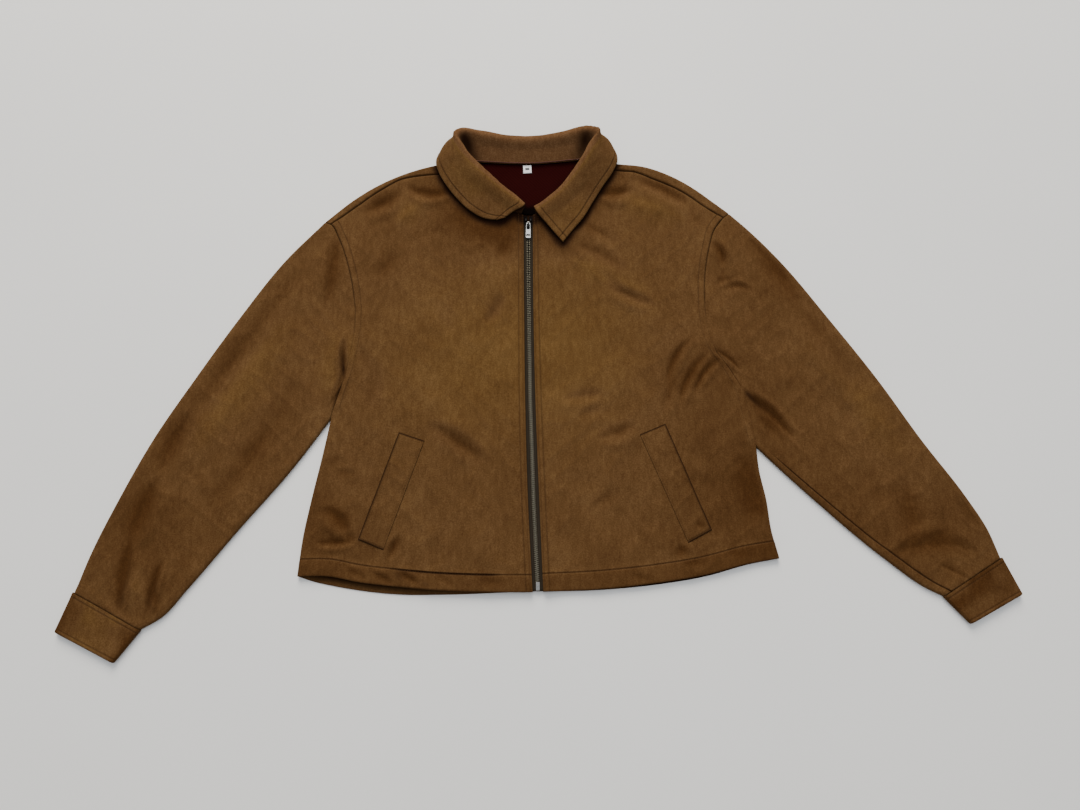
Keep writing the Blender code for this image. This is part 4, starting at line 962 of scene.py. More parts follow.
# %% Fronts
def front(side):
    lines, hem = LINES[side.name], side.hem_depth
    armhole = along(shifted(lines["armhole"], side, 1),
                    np.linspace(1, wrap_share(lines), ARMHOLE_POINTS))
    left = np.concatenate((lines["body_side"][::-1], armhole[1:]))
    underarm = walked(lines["body_side"])[-1] / walked(left)[-1]
    shoulder = shifted(lines["shoulder_seam"], side, 1)[::-1]
    top = np.concatenate((shoulder, lines["neckline"][1:]))
    hem_rings = stitch_rings((*LIP_RINGS, 4.5, 7, 10, 13, 16), hem)
    v = shares_along(walked(left)[-1], CLOTH_STEP, hem_rings, LIP_RINGS, [underarm])
    u = shares_along(walked(top)[-1], CLOTH_STEP, SIDE_RINGS, ZIP_RINGS,
                     [walked(shoulder)[-1] / walked(top)[-1]])
    plan = patch(along(lines["front_hem"], u), along(top, u), along(left, v),
                 along(lines["front_edge"][::-1], v), u, v)
    plan = set_rings(plan, SIDE_RINGS, ZIP_RINGS, hem_rings, LIP_RINGS)
    from_left, from_right, from_bottom, from_top = from_borders(plan)
    above_underarm = smooth_step(v - underarm, *ABOVE_UNDERARM)[:, None]
    shows = armhole_shows(side, plan[:, :1, 1])
    rope = smooth_step(plan[..., 0], *ROPE_STARTS) * (1 - smooth_step(plan[..., 0], *ROPE_ENDS))
    detail = np.zeros(plan.shape[:2])
    # painted shade along the hem line, heavier where it ropes, and along the seams
    painted_line_shade = HEM_THICK_SHADE * rope * bell(from_bottom - hem, HEM_THICK)
    for name, distance, position, share in (
            ("hem", from_bottom, from_left, 1 + HEM_ROPE * rope),
            ("zip", from_right, from_bottom, 1), ("zip_edge", from_right, from_bottom, 1),
            ("armhole", from_left, from_bottom, above_underarm * shows),
            ("shoulder", from_top, from_left, 1)):
        seam = SEAMS[name]._replace(stitch_at=hem) if name == "hem" else SEAMS[name]
        height, hollow = sewn(seam, distance, position + HALF_SHIFT * side.turn)
        detail += height * share
        painted_line_shade += hollow * share
    folded = np.zeros(plan.shape[:2], bool)
    folded[v <= underarm, 0] = True
    detail[folded] = SEAM_GAP / 2
    points, out, lie = lay(plan, 1, upper_relief, detail, folded)
    lip = np.minimum.reduce((from_left + FLUSH * (1 - shows), from_right, from_bottom, from_top))
    # painted shade: the turned-up hem band below its stitches is painted darker, as it slopes away
    # from the light
    painted_hem_shade = HEM_PAINTED_SHADE * (1 - smooth_step(from_bottom, hem - 2, hem + 2))
    add_wall(f"front_{side.name}_cloth", points, out, lip, painted_line_shade, WALL, nap=painted_hem_shade + lie)
    hem_row, zip_column = ring_at(hem_rings, hem), -1 - ring_at(ZIP_RINGS, ZIP_STITCH)
    sew("body", points[hem_row, FIRST_RING:zip_column])
    sew("body", points[hem_row:LAST_RING, zip_column])
    sew("body", points[FIRST_RING:LAST_RING, -1 - ring_at(ZIP_RINGS, ZIP_EDGE_STITCH)])
    sew("body", points[v > underarm + STITCHED_ABOVE, ring_at(SIDE_RINGS, ARMHOLE_STITCH)])


for side in SIDES:
    front(side)

# %% [markdown]
# ## The back
# The back lies on the ground. It folds over both shoulders and ends at a seam on the front side
# of them, so its mesh is one grid with two strips welded to its top row. Its inside shows at the
# open hem, painted dark as shade in the gap and darkest where the left front lifts off it.

# %% Back plan
# across a strip over the shoulder, from its fold to its seam, in closer steps at both ends
WRAP_SHARES = np.array([0, 0.01, 0.04, 0.09, 0.16, 0.24, 0.34, 0.46, 0.58, 0.70, 0.80, 0.88,
                        0.93, 0.965, 0.985, 1])
SIDE_POINTS, HOLE_POINTS, NECK_POINTS = 40, 56, 44
MOUTH_SHADES, MOUTH_DEPTH, LEFT_HEM_SHADE = (0.3, 0.95), (4, 9), 0.95
LEFT_HEM_STARTS, LEFT_HEM_ENDS = (70, 130), (215, 255)


def back_border(lines, side):
    """One side of the back, up the body and the armhole, and which of its points lie on a fold."""
    rise, hole = lines["body_side"][::-1], shifted(lines["armhole"], side, 1)
    shares = np.array(LIP_RINGS) / walked(rise)[-1], np.linspace(0, 1, SIDE_POINTS)[1:-1]
    rings = np.array(FOLD_RINGS) / walked(hole)[-1]
    rise = along(rise, np.concatenate(shares))
    hole = along(hole, np.concatenate((np.linspace(1, rings[-1], HOLE_POINTS), rings[-2::-1])))
    return np.concatenate((rise, hole)), np.arange(len(rise) + len(hole)) <= len(rise)


def shoulder_strip(side, fold, shares):
    """The strip of the back that lies over a shoulder, down to its seam."""
    lines = LINES[side.name]
    seam = along(shifted(lines["shoulder_seam"], side, -1)[::-1], shares)
    strip = fold + (seam - fold) * WRAP_SHARES[:, None, None]
    strip[:, 0] = along(shifted(lines["armhole"], side, 1), WRAP_SHARES * wrap_share(lines))
    from_hole, _, _, to_seam = from_borders(strip)
    height, groove = sewn(SEAMS["shoulder"], to_seam, from_hole)
    at_fold = np.zeros(strip.shape[:2], bool)
    at_fold[0] = True
    height[0] = 0
    points, out, lie = lay(strip, 1, upper_relief, height, at_fold)
    layers = (points, out, np.minimum(to_seam, from_hole), groove, lie, np.ones(groove.shape))
    return tuple(layer[1:] for layer in layers)


# %% Back
def back():
    (right, right_folded), (left, left_folded) = (back_border(LINES[s.name], s) for s in SIDES)
    v = walked(right) / walked(right)[-1]
    shoulders = [LINES[side.name]["shoulder_fold"][::-1] for side in SIDES]
    shoulder_u = [shares_along(walked(line)[-1], CLOTH_STEP, FOLD_RINGS) for line in shoulders]
    tops = [along(line, shares) for line, shares in zip(shoulders, shoulder_u)]
    tops[0][0], tops[1][0] = right[-1], left[-1]
    neck = along(smooth(BACK_NECK), np.linspace(0, 1, NECK_POINTS))[1:-1]
    top = np.concatenate((tops[0], neck, tops[1][::-1]))
    u = walked(top) / walked(top)[-1]
    hem = smooth(RIGHT.back_hem + LEFT.back_hem[-2::-1])
    plan = patch(along(hem, u), top, right, left, u, v)
    folded = np.zeros(plan.shape[:2], bool)
    folded[:, 0], folded[:, -1] = right_folded, left_folded
    folded[-1, :len(tops[0])] = folded[-1, -len(tops[1]):] = True
    plan = set_rings(plan, FOLD_RINGS, FOLD_RINGS, LIP_RINGS, FOLD_RINGS)
    points, out, lie = lay(plan, -1, lower_relief, 0.0, folded)
    points[..., 2] = np.maximum(points[..., 2], 0)
    from_left, from_right, from_bottom, cut_top = from_borders(plan)
    lip = np.minimum.reduce((from_left, from_right, from_bottom))
    neck_columns = slice(len(tops[0]), -len(tops[1]))
    lip[:, neck_columns] = np.minimum(lip, cut_top)[:, neck_columns]
    # painted shade on the back's inside face at the open hem
    low, high = MOUTH_SHADES
    left_hem = (smooth_step(plan[..., 0], *LEFT_HEM_STARTS)
                * (1 - smooth_step(plan[..., 0], *LEFT_HEM_ENDS)))
    painted_mouth_shade = np.maximum(low + (high - low) * smooth_step(from_bottom, *MOUTH_DEPTH),
                       LEFT_HEM_SHADE * left_hem)
    rows, columns = plan.shape[:2]
    parts = [(points, out, lip, np.zeros(lip.shape), lie, painted_mouth_shade)]
    faces, start = [grid_faces(rows, columns)], rows * columns
    last_row = np.arange(start - columns, start)
    for side, fold, shares, base in zip(SIDES, tops, shoulder_u, (last_row, last_row[::-1])):
        strip = shoulder_strip(side, fold, shares)
        added, count = strip[2].shape
        numbers = np.vstack((base[:count], start + np.arange(added * count).reshape(added, count)))
        faces.append(quads(numbers)[:, ::side.turn])
        parts.append(strip)
        start += added * count
    points, out, lip, hollow, nap, inside = (
        np.concatenate([part[i].reshape(part[2].size, -1) for part in parts]) for i in range(6))
    add_wall("back_cloth", points, out, lip[:, 0], hollow[:, 0], WALL, np.concatenate(faces),
             nap=nap[:, 0], inside=inside[:, 0])


back()

# %% [markdown]
# ## Sleeves and cuffs
# A sleeve is one tube that lies flat, so its upper and lower grids share their first and last
# columns. The cuff is a stiffer band of two layers, a little wider than the sleeve's end.

# %% Sleeves
CUFF_RAMP, CUFF_RAMP_REACH = 0.9, 10    # how far the sleeve rises to meet its cuff
UNDERARM_SEAM = 11.0         # inside the left sleeve's inner edge: that seam rolled to the top
UNDERARM_GROOVE, UNDERARM_SHADE, UNDERARM_REACH, UNDERARM_FADE = 1.1, 0.9, 0.9, (20, 60)


def tube(name, upper, lower, lips, hollow, thickness, nap=0.0):
    """A flattened tube from two laid layers that share their first and last columns."""
    layers = ((upper[0], lower[0]), (upper[1], lower[1]), lips, (hollow, 0 * lips[1]),
              (upper[2] + nap, lower[2]))
    points, out, lip, hollow, lie = (np.concatenate((a, b[:, -2:0:-1]), axis=1) for a, b in layers)
    faces = grid_faces(*lip.shape, closed=True)
    add_wall(name, points, out, lip, hollow, thickness, faces, nap=lie)


def sleeve_plan(side, step, v, inner_rings):
    lines = LINES[side.name]
    armhole = shifted(lines["armhole"], side, -1)
    outer, inner = along(lines["sleeve_outer"], v), along(lines["sleeve_inner"], v)
    outer[0], inner[0] = armhole[0], armhole[-1]
    u = shares_along(walked(armhole)[-1], step, FOLD_RINGS, inner_rings)
    cuff_end = outer[-1] + (inner[-1] - outer[-1]) * u[:, None]
    plan = patch(along(armhole, u), cuff_end, outer, inner, u, v)
    return set_rings(plan, FOLD_RINGS, inner_rings, LIP_RINGS, LIP_RINGS)


def sleeve(side):
    v = shares_along(walked(LINES[side.name]["sleeve_outer"])[-1], CLOTH_STEP, LIP_RINGS, LIP_RINGS)
    inner_rings = stitch_rings(FOLD_RINGS, UNDERARM_SEAM) if side is LEFT else np.array(FOLD_RINGS)
    plan = sleeve_plan(side, CLOTH_STEP, v, inner_rings)
    from_outer, to_inner, from_head, to_cuff = from_borders(plan)
    shows = armhole_shows(side, plan[:1, :, 1])
    head, head_line = sewn(SEAMS["sleeve_head"]._replace(seed=20 + side.turn), from_head,
                           from_outer)
    end, end_line = sewn(SEAMS["cuff_end"]._replace(seed=30 + side.turn), to_cuff, from_outer)
    detail = head * shows + end + CUFF_RAMP * bell(to_cuff, CUFF_RAMP_REACH)
    groove = head_line * shows + end_line
    if side is LEFT:
        seam_line = bell(to_inner - UNDERARM_SEAM, UNDERARM_REACH)
        seam_line *= smooth_step(from_head, *UNDERARM_FADE)
        detail -= UNDERARM_GROOVE * seam_line
        groove += UNDERARM_SHADE * seam_line
    detail[both_borders(plan)] = 0
    upper = lay(plan, 1, upper_relief, detail, both_borders(plan))
    under = sleeve_plan(side, 2 * CLOTH_STEP, v, np.array(FOLD_RINGS))
    lower = lay(under, -1, lower_relief, 0.0, both_borders(under))
    _, _, under_head, under_cuff = from_borders(under)
    lips = np.minimum(from_head + FLUSH * (1 - shows), to_cuff), np.minimum(under_head, under_cuff)
    tube(f"sleeve_{side.name}_cloth", upper, lower, lips, groove, WALL)


for side in SIDES:
    sleeve(side)

# %% [markdown]
# ## Cuffs
# A cuff is one straight band. It is painted darker at both ends, as shade where the band rounds
# off, and on the right one it is painted lighter in the middle.

# %% Cuffs
CUFF_WALL, CUFF_RADIUS, CUFF_STEP, CUFF_STITCH, CUFF_GRID = 2.2, 4.0, 2.5, 4.5, 2.0
CUFF_LIGHT_AND_SHADE = {"right": (0.45, -1.0), "left": (-0.5, -0.7)}     # painted light and shade: in the middle and at both ends
CUFF_CLOUDS, CUFF_CLOUD_SIZE = 0.5, 16       # how unevenly the nap of the cuffs is stroked
CUFF_FLUSH, CUFF_BOW = 0.6, 3                # its edge at the seam, and how the painted shade spreads in from its ends
CUFF_WAVE, CUFF_WAVE_SIZE, CUFF_WAVE_SEED, CUFF_WAVE_FADE = 0.25, 20, 8, (2, 10)


def cuff_relief(xy, distance):
    waves = CUFF_WAVE * noise(*xy.T, CUFF_WAVE_SIZE, CUFF_WAVE_SEED)
    return waves * smooth_step(distance, *CUFF_WAVE_FADE), np.zeros(len(xy))


def cuff(side):
    seam_outer, seam_inner = (LINES[side.name][f"sleeve_{edge}"][-1] for edge in ("outer", "inner"))
    mouth_outer, mouth_inner = np.array(side.cuff_mouth, float)
    across, toward_mouth = unit(seam_inner - seam_outer), unit(mouth_outer - seam_outer)
    outer = smooth((seam_outer - across * CUFF_STEP + toward_mouth * SEAM_GAP, mouth_outer))
    inner = smooth((seam_inner + across * CUFF_STEP / 2 + toward_mouth * SEAM_GAP, mouth_inner))
    edges = Edges(CUFF_RADIUS, (outer, side.turn), (inner, -side.turn))
    rings = np.array(FOLD_RINGS) * CUFF_RADIUS / EDGE_RADIUS
    ends = stitch_rings(LIP_RINGS, CUFF_STITCH)
    u = shares_along(np.linalg.norm(outer[0] - inner[0]), CUFF_GRID, rings, rings)
    v = shares_along(walked(outer)[-1], CUFF_GRID, ends, ends)
    left, right = along(outer, v), along(inner, v)
    plan = left[:, None] + (right - left)[:, None] * u[None, :, None]
    plan = set_rings(plan, rings, rings, ends, ends)
    from_outer, _, from_seam, to_mouth = from_borders(plan)
    seam = Seam(CUFF_STITCH, 0.2, 0.6, 0.2, 8, 0.2, 40 + side.turn)
    near, near_line = sewn(seam, from_seam, from_outer)
    far, far_line = sewn(seam._replace(seed=44 + side.turn), to_mouth, from_outer)
    folded = both_borders(plan)
    upper = lay(plan, 1, cuff_relief, np.where(folded, 0, near + far), folded, edges)
    lower = lay(plan, -1, lower_relief, 0.0, folded, edges)
    lip = np.minimum(from_seam + CUFF_FLUSH, to_mouth)
    # painted light and shade across the band, with an uneven tone on top
    middle, at_ends = CUFF_LIGHT_AND_SHADE[side.name]
    nap = middle + (at_ends - middle) * np.abs(2 * from_outer / from_outer[:, -1:] - 1) ** CUFF_BOW
    nap += CUFF_CLOUDS * noise(from_outer, from_seam, CUFF_CLOUD_SIZE, 46 + side.turn)
    tube(f"cuff_{side.name}_cloth", upper, lower, (lip, lip), near_line + far_line, CUFF_WALL, nap)
    for row in (ring_at(ends, CUFF_STITCH), -1 - ring_at(ends, CUFF_STITCH)):
        sew("cuffs", upper[0][row, 3:-3])


for side in SIDES:
    cuff(side)

# %% [markdown]
# ## The collar
# The collar is one double wall that runs up the stand, over the roll and down the leaf. Each
# row of the table is a section across it, from the right front end round the back of the neck
# to the left front end. Its points give the neck seam, the roll line, the middle of the leaf and
# the leaf's edge.

# %% Collar table
CollarStation = namedtuple("CollarStation", "seam_x seam_y seam_z roll_x roll_y roll_z "
                                            "leaf_x leaf_y leaf_z edge_x edge_y edge_z")
COLLAR = tuple(CollarStation(*row) for row in (
    (-25, 229, 7.6, -20, 241, 15, -36, 230, 13.0, -52, 218, 10.4),
    (-38, 233, 7.2, -33, 253, 16, -54, 238, 14.0, -77, 222, 10.2),
    (-59, 241, 7.0, -50, 266, 18, -73, 249, 15.0, -97, 234, 10.2),
    (-79, 255, 7.0, -66, 280, 21, -91, 263, 16.5, -114, 251, 10.4),
    (-94, 274, 7.0, -82, 295, 24, -106, 278, 18.5, -128, 269, 11.0),
    (-98, 289, 7.0, -95, 307, 27, -119, 295, 20.0, -138, 286, 11.5),
    (-98, 300, 7.4, -108, 322, 30, -130, 309, 19.0, -143, 300, 10.6),
    (-93, 306, 6.6, -118, 340, 29, -134, 325, 14.0, -142, 315, 4.0),
    (-82, 306, 6.0, -112, 347, 25, -118, 345, 4.5, -117, 320, 0.2),
    (-60, 305, 5.7, -79, 346, 20, -82, 344, 1.8, -82, 315, 0.2),
    (-34, 304, 5.7, -45, 341, 18, -46, 339, 1.5, -46, 313, 0.2),
    (-8, 304, 5.7, -8, 340, 18, -8, 338, 1.5, -8, 312, 0.2),
    (22, 306, 5.7, 30, 345, 20, 31, 343, 1.5, 32, 314, 0.2),
    (44, 308, 6.0, 68, 351, 25, 74, 350, 4.5, 73, 320, 0.2),
    (58, 308, 6.8, 82, 345, 29, 96, 334, 14.0, 104, 322, 4.0),
    (66, 302, 7.4, 69, 324, 29, 91, 313, 19.0, 107, 307, 10.6),
    (69, 290, 7.0, 56, 303, 26, 80, 295, 19.5, 100, 289, 11.5),
    (60, 272, 7.0, 42, 283, 22, 66, 273, 17.0, 86, 268, 10.6),
    (44, 254, 7.0, 27, 264, 19, 50, 251, 15.0, 71, 243, 10.2),
    (24, 239, 7.0, 11, 250, 17, 36, 233, 14.0, 58, 221, 10.2),
    (6, 233, 7.2, -1, 241, 15.5, 22, 224, 13.0, 44, 204, 10.2),
    (-5, 229, 7.6, -8.5, 237, 15, 10, 212, 12.0, 31, 187, 10.4),
))
COLLAR_WALL, COLLAR_ROLL_RADIUS, COLLAR_STITCH = 2.2, 3.6, 8.0
COLLAR_GRID, LEAF_CORNER, CORD_RADIUS = 2.2, 9.0, 0.55
CORD_START_X, CORD_END_X, CORD_LOW_Y, CORD_SHIFT = -90, 60, 270, (0, -0.5, 0.4)
CORD_EVERY = 3               # one ring of the cord for this many columns of the collar
# painted light: the leaves a little and the stand a lot, so they look as lit as the body; the leaf
# clouds are uneven tone
COLLAR_PAINTED_LIGHT, STAND_PAINTED_LIGHT, LEAF_CLOUDS = 0.15, 2.0, 0.35
LEAF_STARTS, STAND_SHADE_ENDS = (0.03, 0.12), (0.72, 0.95)
COLLAR_WAVES = ((0.35, 30, 52), (0.12, 12, 53))      # height, width of a hill and seed
COLLAR_CLOUDS = ((1, 34, 54), (0.5, 15, 55))
# Painted shade: the stand is painted dark round these stations, with a reach along it and a height
# as a share of it.
BACK_CORNERS = ((8, 11, 0.65), (7, 22, 0.4), (14, 22, 0.4), (13, 11, 0.65), (15, 18, 0.3))
CORNER_HEIGHT, CORNER_SHADE = 0.55, 0.62
FRONT_SHADE_REACH, UNDER_COLLAR_SHADE = 24, 0.9


# %% Collar section and cord
def collar_section(station, along_collar):
    """Seven places across the visible face at one station, from neck seam to leaf edge."""
    seam, roll, leaf, edge = np.array(station, float).reshape(4, 3)
    down_stand = unit(seam - roll)
    leaf_side = COLLAR_ROLL_RADIUS * unit(np.cross(along_collar, down_stand))
    middle = roll + COLLAR_ROLL_RADIUS * down_stand
    stand_top = middle - leaf_side
    return np.array([seam, (seam + stand_top) / 2, stand_top, roll, middle + leaf_side, leaf, edge])


def neck_cord(line):
    """The thin cord that is sewn in between the stand and the lining."""
    aside = unit(np.cross(unit(np.gradient(line, axis=0)), (0.0, 0.0, 1.0)))
    turn = np.linspace(0, 2 * math.pi, 8, endpoint=False)[None, :, None]
    round_it = np.cos(turn) * aside[:, None] + np.sin(turn) * (0.0, 0.0, 1.0)
    rings = line[:, None] + CORD_RADIUS * round_it
    cap = np.array([(3, 2, 1, 0), (7, 4, 3, 0), (7, 6, 5, 4)])
    faces = (grid_faces(len(line), 8, closed=True), cap, cap[:, ::-1] + 8 * (len(line) - 1))
    add_piece("neck_cord_cloth", rings.reshape(-1, 3), np.concatenate(faces))


# %% Collar face
def collar_face(rings):
    """The visible face as a grid from end to end and seam to edge, and the roll's share of it."""
    rolls = np.array([station[3:6] for station in COLLAR], float)
    tangents = unit(np.gradient(rolls, axis=0))
    sections = np.array([collar_section(s, t) for s, t in zip(COLLAR, tangents)])
    u = shares_along(walked(rolls)[-1], COLLAR_GRID, rings, rings)
    table = np.stack([along(smooth(sections[:, place], 1.0), u) for place in range(7)], axis=1)
    steps = np.linalg.norm(np.diff(table, axis=1), axis=2)
    roll_share = (steps[:, :3].sum(axis=1) / steps.sum(axis=1))[:, None]
    rows = []
    for row in table:
        line = smooth(row, 0.4)
        at_rings = 1 - rings[::-1] / walked(line)[-1]
        rows.append(along(line, np.concatenate((np.linspace(0, at_rings[0], 42)[:-1], at_rings))))
    face = set_rings(np.array(rows), bottom=rings, top=rings)
    return face, roll_share, walked(rolls), u[:, None]


def rounded_corner(face, from_end, to_edge):
    """The face with the corner at its first end drawn in to a round one."""
    down = [unit(np.gradient(face, axis=axis)) for axis in (0, 1)]
    deep, low = (np.maximum(LEAF_CORNER - d, 0) for d in (from_end, to_edge))
    pull = 1 - np.maximum(deep, low) / np.maximum(np.hypot(deep, low), 1e-9)
    pull = np.where((deep > 0) & (low > 0), pull, 0)
    return face + down[0] * (deep * pull)[..., None] - down[1] * (low * pull)[..., None]


def face_normals(face):
    return unit(np.cross(np.gradient(face, axis=0), np.gradient(face, axis=1)))


# %% Collar
def collar():
    rings = stitch_rings(LIP_RINGS, COLLAR_STITCH)
    face, roll_share, stations, u = collar_face(rings)
    from_seam, to_edge, from_end, to_end = from_borders(face)
    face = rounded_corner(face, from_end, to_edge)
    up_stand = from_seam / from_seam[:, -1:] / roll_share
    on_leaf = smooth_step(from_seam / from_seam[:, -1:] - roll_share, *LEAF_STARTS)
    seam = Seam(COLLAR_STITCH, 0.5, 1.0, 0.3, 9, 0.3, 50)
    edge, edge_line = sewn(seam, to_edge, from_end)
    near_end, near_line = sewn(seam._replace(seed=51), np.minimum(from_end, to_end), from_seam)
    waves, clouds = (
        sum(height * noise(from_end, from_seam, size, seed) for height, size, seed in table)
        for table in (COLLAR_WAVES, COLLAR_CLOUDS))
    detail = (edge + near_end) * on_leaf + waves
    place = u * stations[-1]
    # painted shade: the stand is darkened in its back corners and at both front ends, below its
    # roll
    corners = sum(bell(place - stations[station], reach) * bell(up_stand - height, CORNER_HEIGHT)
                  for station, reach, height in BACK_CORNERS)
    fronts = bell(np.minimum(place, stations[-1] - place), FRONT_SHADE_REACH)
    hollows = (CORNER_SHADE * corners + fronts) * (1 - smooth_step(up_stand, *STAND_SHADE_ENDS))
    groove = np.clip((edge_line + near_line) * on_leaf + hollows, 0, 1)
    face = face + face_normals(face) * detail[..., None]
    face[..., 2] = np.maximum(face[..., 2], 0.0)
    lip = np.minimum.reduce((to_edge, from_end, to_end))
    points, faces = wall(face.reshape(-1, 3), face_normals(face).reshape(-1, 3), lip.ravel(),
                         grid_faces(*lip.shape), COLLAR_WALL)
    points[:, 2] = np.maximum(points[:, 2], 0)
    # painted light on the leaves and the stand, with the leaves' uneven tone
    nap = (COLLAR_PAINTED_LIGHT + LEAF_CLOUDS * clouds) * on_leaf + STAND_PAINTED_LIGHT * (1 - on_leaf)
    shade = np.concatenate((groove.ravel(), np.full(groove.size, UNDER_COLLAR_SHADE)))
    add_piece("collar_cloth", points, faces, hollow=shade, nap=np.tile(nap.ravel(), 2))
    cord = face[:, 1]
    shows = (cord[:, 0] > CORD_START_X) & (cord[:, 0] < CORD_END_X) & (cord[:, 1] > CORD_LOW_Y)
    neck_cord(cord[shows][::CORD_EVERY] + CORD_SHIFT)
    ring = ring_at(rings, COLLAR_STITCH)
    leaf_start = int(np.argmax(on_leaf[ring] > 0.9))
    for row in (face[ring:-ring, -1 - ring], face[ring, leaf_start:-1 - ring],
                face[-1 - ring, leaf_start:-1 - ring]):
        sew("collar", row)


collar()

# %% [markdown]
# ## Pocket welts
# A welt is a narrow folded band let into the front. Its points are the front's own points moved
# out, so it follows every fold under it.

# %% Welts
WELTS = {                    # the upper outer corner, then round by the inner side
    "welt_right": ((-181, -72), (-148, -83), (-195, -221), (-227, -208)),
    "welt_left": ((161, -61), (128, -75), (185, -212), (215, -196)),
}
WELT_GAP, WELT_WALL, WELT_STITCH, WELT_GRID = 0.15, 1.1, 2.0, 2.0
WELT_SHADES = ((0.3, 0.8), (1, 2.0), (1, 1.7), (1, 2.5))     # shade and reach, in from each edge


def welt(name, corners):
    upper_outer, upper_inner, lower_inner, lower_outer = np.array(corners, float)
    rings = stitch_rings((0, 0.15, 0.45, 0.9), WELT_STITCH)
    u, v = (shares_along(np.linalg.norm(upper_outer - end), WELT_GRID, rings, rings)
            for end in (upper_inner, lower_outer))
    plan = patch(*(start + (end - start) * share[:, None] for start, end, share in (
        (upper_outer, upper_inner, u), (lower_outer, lower_inner, u),
        (upper_outer, lower_outer, v), (upper_inner, lower_inner, v))), u, v)
    plan = set_rings(plan, rings, rings, rings, rings)
    from_outer, to_inner, from_upper, to_lower = from_borders(plan)
    seam = Seam(WELT_STITCH, 0.0, 0.35, 0.12, 8, 0.1, 60)
    height = WELT_GAP + WELT_WALL + sum(
        sewn(seam, distance, position)[0] for distance, position in (
            (to_inner, from_upper), (from_upper, from_outer), (to_lower, from_outer)))
    groove = np.maximum.reduce([shade * bell(distance, reach) for distance, (shade, reach) in zip(
        (to_inner, from_outer, from_upper, to_lower), WELT_SHADES)])
    points, out, lie = lay(plan, 1, upper_relief, height)
    lip = np.minimum.reduce((from_outer, to_inner, from_upper, to_lower))
    add_wall(f"{name}_cloth", points, out, lip, groove, WELT_WALL, nap=lie)
    ring = ring_at(rings, WELT_STITCH)
    for row in (points[ring:-ring, -1 - ring], points[ring, ring:-ring],
                points[-1 - ring, ring:-ring]):
        sew("body", row)


for name, corners in WELTS.items():
    welt(name, corners)

# %% [markdown]
# ## Lining and label
# Inside the neck a piece of the back's lining shows, dark red and smooth. The label hangs from
# its top edge and is left bare but for a plain woven bar.

# %% Lining and label
LINING_BORDER = ((-92, 305.5), (-60, 305.2), (-8, 304.6), (24, 307), (42, 310.2), (62, 310.6))
LINING_LOW_EDGE = ((-92, 284), (-68, 253), (-38, 234), (-15, 230), (10, 234), (42, 254), (62, 282))
LINING_TOP_Z, LINING_WALL, LINING_ROWS, LINING_COLUMNS = 2.9, 0.9, 40, 76
LABEL_CENTRE, LABEL_SIZE, LABEL_TURN = (-17.5, 297.0), (11.5, 12.0), math.radians(3)
LABEL_TOP_Z, LABEL_WALL, LABEL_BOW, LABEL_ROWS, LABEL_COLUMNS = 3.9, 0.5, 0.5, 25, 24
INSIDE_LIP = 5.0             # a lip distance that keeps a wall's edge square


def lining():
    u, v = np.linspace(0, 1, LINING_COLUMNS), np.linspace(0, 1, LINING_ROWS)[:, None, None]
    high, low = along(smooth(LINING_BORDER), u), along(smooth(LINING_LOW_EDGE), u)
    plan = low + (high - low) * v
    x, y = plan[..., 0], plan[..., 1]
    ripple = np.minimum(0.3 * noise(x, y, 16, 70) + 0.1 * noise(x, y, 6, 71), 0.25)
    points = np.dstack((plan, LINING_TOP_Z + ripple))
    add_wall("lining_cloth", points, grid_normals(points, 1), np.full(x.shape, INSIDE_LIP), 0.0,
             LINING_WALL, uv=plan.reshape(-1, 2))


def label():
    u, v = np.linspace(-0.5, 0.5, LABEL_COLUMNS), np.linspace(-0.5, 0.5, LABEL_ROWS)
    across, up = np.meshgrid(u * LABEL_SIZE[0], v * LABEL_SIZE[1])
    cos, sin = math.cos(LABEL_TURN), math.sin(LABEL_TURN)
    bow = LABEL_BOW * (1 - (2 * v[:, None]) ** 2) + 0 * across
    points = np.dstack((LABEL_CENTRE[0] + across * cos - up * sin,
                        LABEL_CENTRE[1] + across * sin + up * cos, LABEL_TOP_Z + bow))
    lip = np.minimum(LABEL_SIZE[0] / 2 - np.abs(across), LABEL_SIZE[1] / 2 - np.abs(up))
    add_wall("label_cloth", points, grid_normals(points, 1), lip, 0.0, LABEL_WALL,
             uv=np.column_stack((across.ravel(), up.ravel())))


lining()
label()

# %% [markdown]
# ## The zip: tape, teeth, slider and stops
# Two woven tapes carry a corded edge each, and metal teeth are clamped on the cords, one side
# half a pitch ahead of the other. The teeth repeat, so Geometry Nodes place them along the zip's
# line. The small metal pieces are flat outlines, extruded and bevelled.

# %% Tapes
CHAIN_MIDDLE_Z, CHAIN_BOTTOM_Y, CHAIN_TOP_Y = 4.2, -259.0, 213.5
TAPE_BOTTOM_Y, TAPE_TOP_Y, TAPE_REACH, TAPE_WALL, TAPE_ROWS = -270.0, 226.5, 15.0, 0.8, 250
TAPE_COLUMNS = ((1.2, 4.0, 9), (4.6, TAPE_REACH, 12))       # start, end, number; close on the cord
TAPE_LIFT, CORD_HEIGHT, CORD_PLACE, CORD_REACH = 0.4, 0.55, 2.1, 0.7
RIB_HEIGHT, RIB_PITCH = 0.06, 1.3


